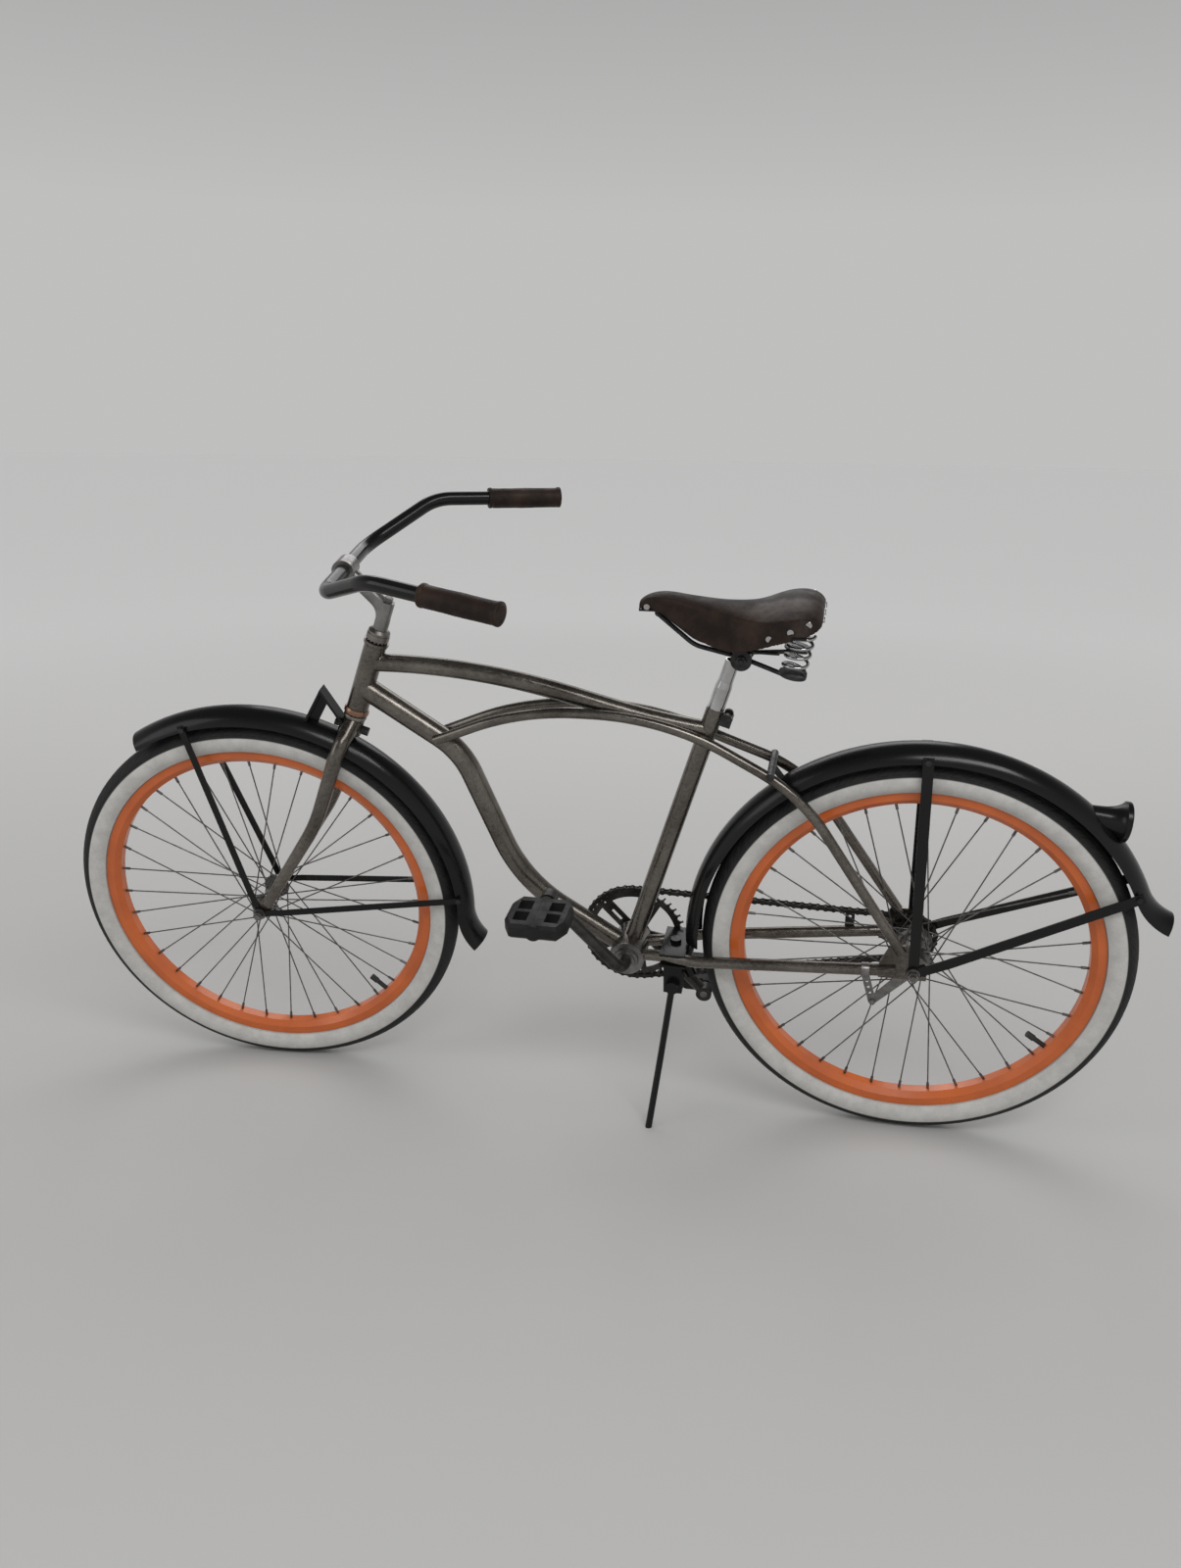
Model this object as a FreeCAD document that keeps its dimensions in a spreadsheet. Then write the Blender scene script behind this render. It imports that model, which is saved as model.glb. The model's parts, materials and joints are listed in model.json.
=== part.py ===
import FreeCAD, Part
import math
import os
from types import SimpleNamespace

import Sketcher
from FreeCAD import Placement, Rotation, Vector

# Beach cruiser bicycle, leaning on its side stand with the bars turned a little to the left.
# Every piece is drawn in the upright bicycle's frame: origin at the rear axle, +X forward,
# +Y to the rider's left, +Z up. Its Placement then leans it and sets it on the floor.

# Driving dimensions, in millimetres and degrees.
SIZES = {
    # Stance
    "lean_angle": 10.0,
    "steer_angle": 6.0,
    "origin_forward": 525.0,
    "origin_left": 88.6,
    "cut_overrun": 5.0,
    # Wheels
    "wheel_base": 1087.0,
    "tyre_seat_height": 19.5,
    "tyre_section_radius": 27.0,
    "tyre_cavity_radius": 22.0,
    "bead_depth": 6.5,
    "bead_inner_half": 10.5,
    "rim_gap": 1.0,
    "rim_outer_radius": 286.0,
    "rim_half_width": 16.0,
    "rim_side_depth": 13.0,
    "rim_depth": 22.0,
    "rim_bed_half": 8.0,
    "rim_wall": 2.0,
    "tube_gap": 0.2,
    "tube_wall": 1.5,
    "valve_radius": 4.0,
    "valve_length": 34.0,
    "valve_cap_radius": 5.2,
    "valve_cap_length": 13.0,
    "valve_hole_gap": 0.4,
    "front_valve_angle": 225.0,
    "rear_valve_angle": 215.0,
    "spoke_count": 36,
    "spoke_crosses": 3,
    "spoke_radius": 1.1,
    "spoke_hole_gap": 0.25,
    "spoke_lift": 1.7,
    "spoke_head_radius": 2.2,
    "spoke_head_thickness": 1.6,
    "nipple_radius": 2.2,
    "nipple_length": 12.0,
    "front_flange_radius": 22.0,
    "front_flange_half": 33.0,
    "front_shell_half": 36.5,
    "front_barrel_radius": 11.0,
    "rear_flange_radius": 31.0,
    "rear_flange_half": 30.0,
    "rear_shell_half": 40.0,
    "rear_barrel_radius": 21.0,
    "flange_thickness": 3.0,
    "flange_edge": 3.2,
    "flange_taper": 3.0,
    "hub_collar_wall": 2.6,
    "hub_bore_gap": 1.4,
    "race_radius": 11.0,
    "race_depth": 8.5,
    "ball_count": 10,
    "ball_gap": 0.05,
    "axle_radius": 4.76,
    "cone_radius": 7.6,
    "front_lock_half": 50.0,
    "rear_lock_half": 55.0,
    "front_axle_half": 71.0,
    "rear_axle_half": 79.0,
    "nut_radius": 8.6,
    "nut_length": 8.0,
    "washer_radius": 10.0,
    "washer_thickness": 1.5,
    # Frame tubes
    "bracket_drop": 40.0,
    "bracket_shell_radius": 29.0,
    "bracket_shell_bore": 25.65,
    "bracket_shell_half": 34.0,
    "frame_wall": 1.6,
    "head_angle": 69.0,
    "fork_offset": 54.0,
    "head_tube_start": 409.0,
    "head_tube_length": 113.0,
    "head_tube_radius": 17.5,
    "head_tube_bore": 15.2,
    "seat_angle": 72.8,
    "seat_tube_length": 455.0,
    "seat_tube_radius": 14.3,
    "top_tube_radius": 14.3,
    "top_tube_joint_up": 439.0,
    "top_tube_front_x": 688.0,
    "top_tube_front_z": 442.0,
    "top_tube_rear_x": 420.0,
    "top_tube_rear_z": 371.0,
    "top_tube_end_up": 358.0,
    "top_tube_front_bend": 1100.0,
    "top_tube_rear_bend": 1200.0,
    "down_tube_radius": 18.5,
    "down_tube_end_radius": 16.0,
    "down_tube_joint_up": 398.0,
    "down_tube_knee_x": 722.0,
    "down_tube_knee_z": 298.0,
    "down_tube_knee_bend": 130.0,
    "down_tube_foot_x": 631.0,
    "down_tube_foot_z": 70.0,
    "down_tube_foot_bend": 240.0,
    "arch_radius": 8.0,
    "arch_wall": 1.4,
    "arch_start_y": 20.5,
    "arch_front_x": 612.0,
    "arch_front_z": 382.0,
    "arch_crown_x": 409.0,
    "arch_crown_z": 382.0,
    "arch_flare_x": 316.0,
    "arch_flare_z": 341.0,
    "arch_side_gap": 0.2,
    "arch_knee_x": 184.0,
    "arch_knee_y": 47.0,
    "arch_knee_z": 281.0,
    "arch_end_x": 20.0,
    "arch_end_out": 0.5,
    "arch_end_z": 34.0,
    "arch_front_bend": 440.0,
    "arch_crown_bend": 440.0,
    "arch_flare_bend": 250.0,
    "arch_knee_bend": 240.0,
    "chain_stay_radius": 9.5,
    "chain_stay_start_y": 21.0,
    "chain_stay_bend_x": 408.0,
    "chain_stay_bend_y": 23.0,
    "chain_stay_wide_x": 342.0,
    "chain_stay_wide_y": 42.5,
    "chain_stay_end_x": 26.0,
    "chain_stay_end_z": 2.0,
    "chain_stay_bend": 90.0,
    "dropout_thickness": 5.0,
    "dropout_front": 52.0,
    "dropout_back": 20.0,
    "dropout_half_height": 13.0,
    "dropout_top": 46.0,
    "dropout_top_front": 36.0,
    "dropout_top_back": 8.0,
    "axle_slot_gap": 0.3,
    "bridge_radius": 6.0,
    "bridge_x": 231.0,
    "bridge_z": 307.0,
    "low_bridge_x": 352.0,
    "guard_tab_x": 92.0,
    "guard_tab_width": 15.0,
    "guard_tab_thickness": 3.0,
    "guard_tab_height": 27.0,
    "guard_tab_hole": 3.0,
    # Headset and fork
    "cup_flange_height": 8.0,
    "cup_flange_radius": 20.0,
    "cup_depth": 9.0,
    "cup_waist_radius": 18.6,
    "steerer_radius": 12.7,
    "steerer_bore": 11.1,
    "headset_ball_radius": 1.9,
    "headset_ball_count": 16,
    "race_height": 5.0,
    "race_outer_radius": 18.4,
    "top_race_height": 9.0,
    "top_race_radius": 18.0,
    "locknut_height": 8.0,
    "locknut_radius": 17.0,
    "running_gap": 0.35,
    "crown_radius": 17.0,
    "crown_height": 30.0,
    "blade_top_radius": 13.5,
    "blade_end_radius": 9.0,
    "blade_wall": 1.5,
    "blade_top_left": 7.0,
    "blade_top_drop": 9.0,
    "blade_shoulder_along": 348.0,
    "blade_shoulder_forward": 4.0,
    "blade_shoulder_left": 47.0,
    "blade_rake_along": 205.0,
    "blade_rake_forward": 5.0,
    "blade_rake_left": 52.0,
    "blade_end_along": 23.0,
    "blade_end_forward": 46.0,
    "blade_end_left": 54.0,
    "blade_shoulder_bend": 48.0,
    "blade_rake_bend": 300.0,
    "fork_end_thickness": 4.5,
    "fork_end_half_width": 11.0,
    # Stem, bars and grips
    "quill_rise": 47.0,
    "quill_length": 168.0,
    "stem_neck_radius": 11.6,
    "stem_knee_bend": 36.0,
    "clamp_rise": 27.0,
    "clamp_forward": 75.0,
    "clamp_radius": 17.0,
    "clamp_half_width": 17.0,
    "clamp_ear_length": 17.0,
    "clamp_ear_width": 20.0,
    "clamp_ear_thickness": 13.0,
    "clamp_slit": 3.2,
    "clamp_bolt_radius": 4.0,
    "clamp_bolt_head_radius": 6.5,
    "clamp_bolt_head_height": 5.0,
    "expander_radius": 4.0,
    "expander_head_radius": 7.0,
    "expander_head_height": 7.0,
    "wedge_height": 26.0,
    "wedge_slant": 25.0,
    "bar_radius": 11.1,
    "bar_wall": 1.8,
    "bar_bend_y": 116.0,
    "bar_sweep_x": 787.0,
    "bar_sweep_y": 214.0,
    "bar_sweep_z": 641.0,
    "bar_end_x": 596.0,
    "bar_end_y": 288.0,
    "bar_end_z": 624.0,
    "bar_bend": 70.0,
    "bar_sweep_bend": 85.0,
    "grip_length": 118.0,
    "grip_radius": 15.6,
    "grip_flange_radius": 16.8,
    "grip_flange_length": 5.0,
    "grip_cap": 4.0,
    # Fenders
    "fender_tyre_gap": 27.5,
    "fender_depth": 23.0,
    "fender_half_width": 32.0,
    "fender_thickness": 1.4,
    "front_fender_start": 59.0,
    "front_fender_end": 181.5,
    "rear_fender_start": -2.0,
    "rear_fender_end": 156.0,
    "tail_bend_radius": 78.0,
    "tail_angle": 42.0,
    "front_stay_width": 11.0,
    "rear_stay_width": 16.0,
    "stay_thickness": 2.0,
    "stay_eye_radius": 11.0,
    "front_stay_straight": 40.0,
    "rear_stay_straight": 54.0,
    "stay_overlap": 12.0,
    "front_stay_first_angle": 75.0,
    "front_stay_second_angle": 176.0,
    "rear_stay_first_angle": 89.0,
    "rear_stay_second_angle": 155.0,
    "stay_bolt_radius": 2.5,
    "stay_bolt_head_radius": 4.6,
    "stay_bolt_head_height": 3.2,
    "stay_bolt_inset": 7.0,
    "strap_width": 24.0,
    "strap_thickness": 4.0,
    "strap_apex_rise": 56.3,
    "strap_apex_angle": 109.9,
    "strap_foot_angle": 108.0,
    "strap_crown_drop": 20.0,
    "strap_web_thickness": 4.0,
    "strap_web_breadth": 18.0,
    "strap_web_drop": 20.0,
    "crown_bolt_radius": 4.0,
    "crown_nut_radius": 7.5,
    "crown_nut_length": 7.0,
    "fender_post_radius": 5.0,
    # Tail lamp
    "lamp_angle": 131.0,
    "lamp_neck_radius": 18.0,
    "lamp_mouth_radius": 30.0,
    "lamp_depth": 48.0,
    "lamp_lip": 8.0,
    "lamp_rim": 4.0,
    "lamp_lens_depth": 9.0,
    "lamp_tilt": 6.0,
    "lamp_sink": 26.0,
    "lamp_drop": 14.0,
    "lamp_wall": 2.5,
    # Crank, chain and pedals
    "chain_pitch": 12.7,
    "chain_links": 102,
    "ring_teeth": 42,
    "sprocket_teeth": 18,
    "chain_line": 47.0,
    "plate_thickness": 3.0,
    "tooth_height": 2.3,
    "roller_radius": 3.75,
    "roller_gap": 1.5,
    "roller_half_width": 2.4,
    "link_plate_thickness": 1.1,
    "link_plate_half_height": 4.3,
    "link_waist_half_height": 3.1,
    "link_gap": 0.12,
    "pin_radius": 1.8,
    "ring_hub_radius": 26.0,
    "ring_rim_inner": 70.0,
    "ring_arm_width": 22.0,
    "ring_slot_width": 6.0,
    "ring_slot_inner": 33.0,
    "ring_slot_outer": 56.0,
    "ring_hole_radius": 2.0,
    "ring_hole_circle": 74.0,
    "ring_arms": 5,
    "driver_radius": 15.0,
    "driver_half_gap": 0.6,
    "crank_angle": 47.0,
    "crank_length": 170.0,
    "crank_bar_radius": 9.5,
    "crank_half_width": 72.0,
    "crank_end_half_width": 75.0,
    "crank_bend": 20.0,
    "crank_boss_radius": 13.5,
    "crank_boss_half": 10.0,
    "cup_bore": 17.0,
    "cup_inset": 10.0,
    "cup_lip": 2.5,
    "crank_cone_radius": 11.4,
    "bracket_ball_count": 11,
    "crank_nut_radius": 20.0,
    "crank_nut_step_radius": 15.0,
    "crank_nut_height": 5.0,
    "crank_nut_step": 2.5,
    "pedal_spindle_radius": 6.3,
    "pedal_play": 0.06,
    "pedal_gap": 5.0,
    "pedal_width": 92.0,
    "pedal_length": 98.0,
    "pedal_thickness": 25.0,
    "pedal_corner": 22.0,
    "pedal_window_length": 22.0,
    "pedal_window_width": 26.0,
    "pedal_window_spacing": 34.0,
    "pedal_barrel_radius": 13.0,
    "pedal_cap_length": 4.0,
    # Coaster brake
    "brake_arm_inset": 47.5,
    "brake_arm_thickness": 4.0,
    "brake_arm_angle": -48.0,
    "brake_arm_length": 86.0,
    "brake_arm_width": 18.0,
    "brake_arm_end_width": 12.0,
    "brake_hub_radius": 16.0,
    "brake_cone_radius": 12.0,
    "brake_shoe_radius": 13.5,
    "brake_drum_radius": 17.5,
    "brake_shoe_half_length": 12.0,
    "clip_x": 72.0,
    "clip_width": 12.0,
    "clip_thickness": 1.6,
    "clip_bolt_radius": 3.0,
    "clip_hole_radius": 2.4,
    "clip_bolt_head_radius": 5.0,
    "clip_bolt_head_height": 3.5,
    # Side stand
    "stand_x": 376.0,
    "stand_plate_length": 42.0,
    "stand_plate_half_width": 44.0,
    "stand_plate_thickness": 4.0,
    "stand_plate_sink": 1.2,
    "stand_bolt_radius": 5.0,
    "stand_bolt_head_radius": 9.0,
    "stand_bolt_head_height": 6.0,
    "stand_block_depth": 56.0,
    "stand_block_length": 30.0,
    "stand_block_inner": 8.0,
    "stand_block_outer": 37.0,
    "stand_lug_radius": 9.0,
    "stand_lug_length": 36.0,
    "stand_lug_angle": 25.0,
    "stand_pivot_drop": 49.6,
    "stand_pin_radius": 6.0,
    "stand_pin_play": 0.06,
    "stand_head_radius": 11.0,
    "stand_head_length": 10.0,
    "stand_leg_radius": 5.5,
    "stand_knee_forward": 17.0,
    "stand_knee_left": 12.0,
    "stand_knee_drop": 133.0,
    "stand_foot_forward": 28.0,
    "stand_foot_left": 87.0,
    "stand_foot_drop": 240.0,
    "stand_knee_bend": 90.0,
    # Seat
    "post_radius": 12.7,
    "post_slide_gap": 0.05,
    "post_insert": 130.0,
    "post_rise": 80.0,
    "post_neck_radius": 11.1,
    "post_neck_length": 34.0,
    "post_neck_taper": 10.0,
    "binder_drop": 13.0,
    "binder_height": 17.0,
    "binder_half_width": 9.0,
    "binder_reach": 15.0,
    "binder_bolt_radius": 4.0,
    "binder_head_radius": 7.5,
    "binder_head_height": 5.0,
    "saddle_clamp_radius": 15.5,
    "saddle_clamp_half": 20.0,
    "saddle_disc_thickness": 7.0,
    "clamp_nut_radius": 8.5,
    "clamp_nut_height": 5.0,
    "clamp_stud_radius": 4.0,
    "clamp_stud_length": 8.0,
    "saddle_clamp_back": 14.0,
    "saddle_clamp_up": 9.0,
    "rail_radius": 3.5,
    "rail_half_gap": 12.0,
    "rail_nose_forward": 123.4,
    "rail_nose_left": 9.0,
    "rail_nose_up": 59.9,
    "rail_belly_forward": 69.4,
    "rail_belly_left": 14.0,
    "rail_belly_up": 16.9,
    "rail_bend": 50.0,
    "rail_nose_bend": 5.0,
    "brace_up": 10.0,
    "brace_radius": 2.8,
    "brace_rear_back": 54.6,
    "brace_rear_left": 44.0,
    "brace_rear_up": 19.9,
    "spring_clamp_distance": 76.6,
    "spring_left": 58.0,
    "spring_drop": 2.1,
    "spring_height": 60.0,
    "spring_back": 12.0,
    "spring_radius": 17.0,
    "spring_wire": 2.5,
    "spring_turns": 4,
    "spring_seat_radius": 20.0,
    "spring_seat_thickness": 5.0,
    "saddle_nose_forward": 152.4,
    "saddle_length": 267.0,
    "saddle_half_width": 99.0,
    "saddle_top_up": 96.9,
    "saddle_skirt_depth": 92.0,
    "leather_thickness": 4.5,
    "cantle_inset": 20.0,
    "cantle_depth": 20.0,
    "cantle_thickness": 3.0,
    "cantle_half_width": 97.0,
    "nose_plate_length": 46.0,
    "nose_plate_thickness": 3.0,
    "nose_eye_half": 3.8,
    "nose_eye_wall": 2.4,
    "rivet_radius": 4.4,
    "rivet_height": 1.6,
}

# Saddle outline from nose to back, as shares of its length, half width and skirt depth:
# place along, half width, drop of the top line, drop of the skirt.
SADDLE_SHARES = (
    (0.00, 0.13, 0.22, 0.36),
    (0.10, 0.22, 0.07, 0.33),
    (0.24, 0.29, 0.09, 0.56),
    (0.40, 0.39, 0.15, 0.80),
    (0.55, 0.55, 0.18, 0.84),
    (0.68, 0.78, 0.15, 0.68),
    (0.82, 0.98, 0.04, 0.49),
    (0.92, 0.93, 0.03, 0.41),
    (0.97, 0.80, 0.08, 0.37),
    (1.00, 0.60, 0.17, 0.33),
)
SADDLE_SHOULDER_SHARE = 0.62
ARCH_START_SHARE = 0.77
SADDLE_CROWN_SHARE = 0.10
CLIP_HOLE_SHARES = (0.3, 0.5, 0.7)
LAMP_ROOT_SHARE = 0.9
CLAMP_BARREL_SHARE = 0.8
CLAMP_SLEEVE_SHARE = 0.7
GRIP_NECK_SHARE = 1.5
PEDAL_WINDOW_SHARE = 1.45
# Flank rivets: place along the saddle, and place from its shoulder down to its skirt.
RIVET_FLANK_SHARES = ((0.05, 0.5), (0.73, 0.62), (0.84, 0.5), (0.93, 0.3))
RIVET_BACK_SHARES = (-0.6, 0, 0.6)


class Size:
    """A number together with the sheet expression that it comes from."""

    def __init__(self, value, text):
        self.value = value
        self.text = text

    def joined(self, other, sign, result):
        other_text = other.text if isinstance(other, Size) else repr(other)
        return Size(result, f"({self.text} {sign} {other_text})")

    def __add__(self, other):
        return self.joined(other, "+", self.value + plain(other))

    def __sub__(self, other):
        return self.joined(other, "-", self.value - plain(other))

    def __mul__(self, other):
        return self.joined(other, "*", self.value * plain(other))

    def __truediv__(self, other):
        return self.joined(other, "/", self.value / plain(other))

    def __neg__(self):
        return Size(-self.value, f"(-1 * {self.text})")


def plain(number):
    """The bare number of a size, or the number itself."""
    return number.value if isinstance(number, Size) else number


def filled_sheet(document, table):
    """A sheet with one alias per size."""
    sheet = document.addObject("Spreadsheet::Sheet", "sizes")
    for row, (name, number) in enumerate(table.items(), start=1):
        sheet.set(f"A{row}", name)
        sheet.set(f"B{row}", str(number))
        sheet.setAlias(f"B{row}", name)
    document.recompute()
    return sheet


doc = FreeCAD.newDocument("beach_cruiser")
sheet = filled_sheet(doc, SIZES)
mm = SimpleNamespace(**{name: float(sheet.get(name)) for name in SIZES})
size = SimpleNamespace(**{name: Size(float(sheet.get(name)), f"sizes.{name}") for name in SIZES})
nodes = []


def derive(name, total):
    """A size worked out from sizes of the sheet."""
    setattr(size, name, total)
    setattr(mm, name, total.value)


derive("ring_centre_radius", size.rim_outer_radius + size.tyre_seat_height)
derive("tyre_outer_radius", size.ring_centre_radius + size.tyre_section_radius)
derive("bead_radius", size.rim_outer_radius - size.bead_depth)
derive("rim_bed_radius", size.rim_outer_radius - size.rim_depth)
derive("fender_crown_radius", size.tyre_outer_radius + size.fender_tyre_gap)
derive("fender_edge_radius", size.fender_crown_radius - size.fender_depth)
derive("stay_reach", size.fender_edge_radius + size.stay_overlap)
derive("chain_stay_end_y", size.rear_lock_half + size.dropout_thickness)
derive("arch_end_y", size.rear_lock_half + size.dropout_thickness + size.arch_end_out)
derive("post_top_along", size.seat_tube_length + size.post_rise)
derive("headset_stack", size.cup_flange_height + size.headset_ball_radius * 2)
derive("locknut_top_along", size.head_tube_start + size.head_tube_length + size.headset_stack
       + size.top_race_height + size.locknut_height)
derive("quill_top_along", size.locknut_top_along + size.quill_rise)
derive("quill_bottom_along", size.quill_top_along - size.quill_length)
derive("clamp_along", size.quill_top_along + size.clamp_rise)

ORIGIN = Vector(0, 0, 0)
FORWARD = Vector(1, 0, 0)
LEFT = Vector(0, 1, 0)
UP = Vector(0, 0, 1)
SIDES = (1, -1)
HALF_TURN = 180
FULL_TURN = 360


def polar(radius, degrees, left=0):
    """A point at an angle above forward, about the Y axis."""
    angle = math.radians(degrees)
    return Vector(radius * math.cos(angle), left, radius * math.sin(angle))


def mirrored(shape):
    """The same shape on the bicycle's other side."""
    return shape.mirror(ORIGIN, LEFT)


# Main places of the upright bicycle
STEER_UP = polar(1, HALF_TURN - mm.head_angle)
STEER_FORWARD = polar(1, HALF_TURN / 2 - mm.head_angle)
FRONT_AXLE = Vector(mm.wheel_base, 0, 0)
STEER_FOOT = FRONT_AXLE - STEER_FORWARD * mm.fork_offset
SEAT_UP = polar(1, HALF_TURN - mm.seat_angle)


def bracket_centre():
    """Crank centre: the chain's length sets how far it stands from the rear axle."""
    spare = 2 * mm.chain_links - mm.ring_teeth - mm.sprocket_teeth
    step = (mm.ring_teeth - mm.sprocket_teeth) / math.pi
    distance = mm.chain_pitch / 8 * (spare + math.sqrt(spare ** 2 - 8 * step ** 2))
    return Vector(math.sqrt(distance ** 2 - mm.bracket_drop ** 2), 0, -mm.bracket_drop)


BRACKET = bracket_centre()


def steered(along, forward, left=0):
    """A point of the steering: along its axis, forward of it and to the left."""
    return STEER_FOOT + STEER_UP * along + STEER_FORWARD * forward + LEFT * left


def seat_point(along, forward=0):
    """A point of the seat tube's axis, measured from the crank centre."""
    return BRACKET + SEAT_UP * along + FORWARD * forward


def tyre_low(centre, axle):
    """Height of the lowest point of a tyre."""
    return centre.z - mm.ring_centre_radius * math.sqrt(1 - axle.z ** 2) - mm.tyre_section_radius


def standing_placements():
    """Placements of the leaning frame and of the turned steering, both tyres on the floor."""
    steer = Placement(ORIGIN, Rotation(STEER_UP, mm.steer_angle), STEER_FOOT)
    lean = Placement(ORIGIN, Rotation(FORWARD, -mm.lean_angle))
    rear_low = tyre_low(ORIGIN, lean.multVec(LEFT))
    front = lean * steer
    front_low = tyre_low(front.multVec(FRONT_AXLE), front.Rotation.multVec(LEFT))
    pitch = math.degrees(math.atan2(front_low - rear_low, mm.wheel_base))
    contact = Vector(0, 0, rear_low)
    level = Placement(ORIGIN, Rotation(LEFT, pitch), contact)
    rise = Placement(Vector(-mm.origin_forward, -mm.origin_left, -rear_low), Rotation())
    bike = rise * level * lean
    return bike, bike * steer


BIKE, STEERING = standing_placements()


def keep(label, shape, place=BIKE):
    """A node made of a ready shape."""
    feature = doc.addObject("Part::Feature", label)
    feature.Label = label
    feature.Shape = shape
    feature.Placement = place
    nodes.append(feature)
    return feature


def node(feature, label, place=BIKE):
    """A node made of a document object."""
    feature.Label = label
    feature.Placement = place
    nodes.append(feature)
    return feature


def group(label, features, place=BIKE):
    """A node of several separate solids."""
    compound = doc.addObject("Part::Compound", label)
    compound.Links = features
    return node(compound, label, place)


def cylinder(name, radius, height, place=Placement()):
    """A round bar along its own Z axis."""
    bar = doc.addObject("Part::Cylinder", name)
    bar.setExpression("Radius", radius.text)
    bar.setExpression("Height", height.text)
    bar.Placement = place
    return bar


def cut(name, base, tool):
    result = doc.addObject("Part::Cut", name)
    result.Base = base
    result.Tool = tool
    return result


def origin_plane(body, role):
    return [plane for plane in body.Origin.OriginFeatures if plane.Role == role][0]


def outline_sketch(body, name, points, role):
    """A closed outline whose corners are bound to the sheet."""
    sketch = body.newObject("Sketcher::SketchObject", name)
    sketch.AttachmentSupport = [(origin_plane(body, role), "")]
    sketch.MapMode = "FlatFace"
    corners = [Vector(plain(a), plain(b), 0) for a, b in points]
    count = len(corners)
    sketch.addGeometry([Part.LineSegment(corners[i], corners[(i + 1) % count]) for i in range(count)])
    rules = [Sketcher.Constraint("Coincident", i, 2, (i + 1) % count, 1) for i in range(count)]
    bound = []
    for i, pair in enumerate(points):
        for kind, axis, number in (("DistanceX", -2, pair[0]), ("DistanceY", -1, pair[1])):
            if plain(number) == 0:
                rules.append(Sketcher.Constraint("PointOnObject", i, 1, axis))
                continue
            bound.append((len(rules), f"{kind}{i}", number))
            rules.append(Sketcher.Constraint(kind, -1, 1, i, 1, plain(number)))
    sketch.addConstraint(rules)
    for index, label, number in bound:
        sketch.renameConstraint(index, label)
        sketch.setExpression(f"Constraints.{label}", number.text)
    return sketch


def turned(name, points, place=Placement()):
    """A body turned about its own Z axis from (radius, height) corners."""
    body = doc.addObject("PartDesign::Body", name)
    sketch = outline_sketch(body, f"{name}_outline", points, "XZ_Plane")
    revolution = body.newObject("PartDesign::Revolution", f"{name}_turning")
    revolution.Profile = sketch
    revolution.ReferenceAxis = (sketch, ["V_Axis"])
    revolution.Angle = FULL_TURN
    body.Placement = place
    return body


def across(left=0, centre=ORIGIN, side=1):
    """Local Z along the axle direction, starting at a distance to the left or right."""
    return Placement(centre + LEFT * left * side, Rotation(UP, LEFT * side))


def along_steering(along):
    return Placement(steered(along, 0), Rotation(UP, STEER_UP))


def rounded_path(points, bends):
    """A wire of straight runs joined by tangent arcs, one bend radius per inner point."""
    edges = []
    start = points[0]
    for before, corner, after, bend in zip(points, points[1:], points[2:], bends):
        inward = (before - corner).normalize()
        outward = (after - corner).normalize()
        half = inward.getAngle(outward) / 2
        reach = bend / math.tan(half)
        middle = corner + (inward + outward).normalize() * (bend / math.sin(half) - bend)
        edges.append(Part.LineSegment(start, corner + inward * reach).toShape())
        edges.append(Part.Arc(corner + inward * reach, middle, corner + outward * reach).toShape())
        start = corner + outward * reach
    edges.append(Part.LineSegment(start, points[-1]).toShape())
    return Part.Wire(edges)


def bar_along(path, radius, end_radius=None):
    """A round bar along a path, tapering where an end radius is given."""
    first = path.Edges[0]
    last = path.Edges[-1]
    shell = Part.BRepOffsetAPI.MakePipeShell(path)
    ring = Part.makeCircle(radius, first.valueAt(first.FirstParameter), first.tangentAt(first.FirstParameter))
    shell.add(Part.Wire(ring))
    if end_radius is not None:
        end = last.LastParameter
        shell.add(Part.Wire(Part.makeCircle(end_radius, last.valueAt(end), last.tangentAt(end))))
    shell.build()
    shell.makeSolid()
    return shell.shape()


def tube_along(path, radius, wall, end_radius=None):
    """A hollow tube along a path."""
    inner_end = None if end_radius is None else end_radius - wall
    return bar_along(path, radius, end_radius).cut(bar_along(path, radius - wall, inner_end))


def rod(start, end, radius):
    """A straight round bar between two points."""
    return Part.makeCylinder(radius, start.distanceToPoint(end), start, end - start)


def ring_shape(outer, inner, length, start, direction):
    """A plain washer or sleeve."""
    return Part.makeCylinder(outer, length, start, direction).cut(
        Part.makeCylinder(inner, length, start, direction))


def plate(points, thickness, lift):
    """A flat plate: its outline lies in the wheel plane and it grows to the left."""
    wire = Part.makePolygon([Vector(p.x, lift, p.z) for p in points + points[:1]])
    return Part.Face(wire).extrude(LEFT * thickness)


def box(low, high):
    """A box between two opposite corners."""
    span = high - low
    return Part.makeBox(span.x, span.y, span.z, low)


def hexagon(radius, height, start, direction):
    """A six-sided nut or bolt head."""
    corners = [polar(radius, FULL_TURN / 6 * i) for i in range(6)]
    prism = Part.Face(Part.makePolygon(corners + corners[:1])).extrude(LEFT * height)
    prism.Placement = Placement(start, Rotation(LEFT, direction))
    return prism


def ball_ring(centre, axis, circle, radius, count):
    """Bearing balls, evenly spaced about an axis."""
    side = axis.cross(FORWARD + UP * 2).normalize()
    balls = []
    for i in range(int(count)):
        spoke = Rotation(axis, FULL_TURN * i / count).multVec(side)
        balls.append(Part.makeSphere(radius, centre + spoke * circle))
    return balls


# Frame tubes
def head_tube():
    place = Placement(ORIGIN, Rotation())
    outer = cylinder("head_tube_outer", size.head_tube_radius, size.head_tube_length, place)
    bore = cylinder("head_tube_bore_tool", size.head_tube_bore, size.head_tube_length, place)
    node(cut("head_tube", outer, bore), "head_tube", BIKE * along_steering(mm.head_tube_start))


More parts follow.
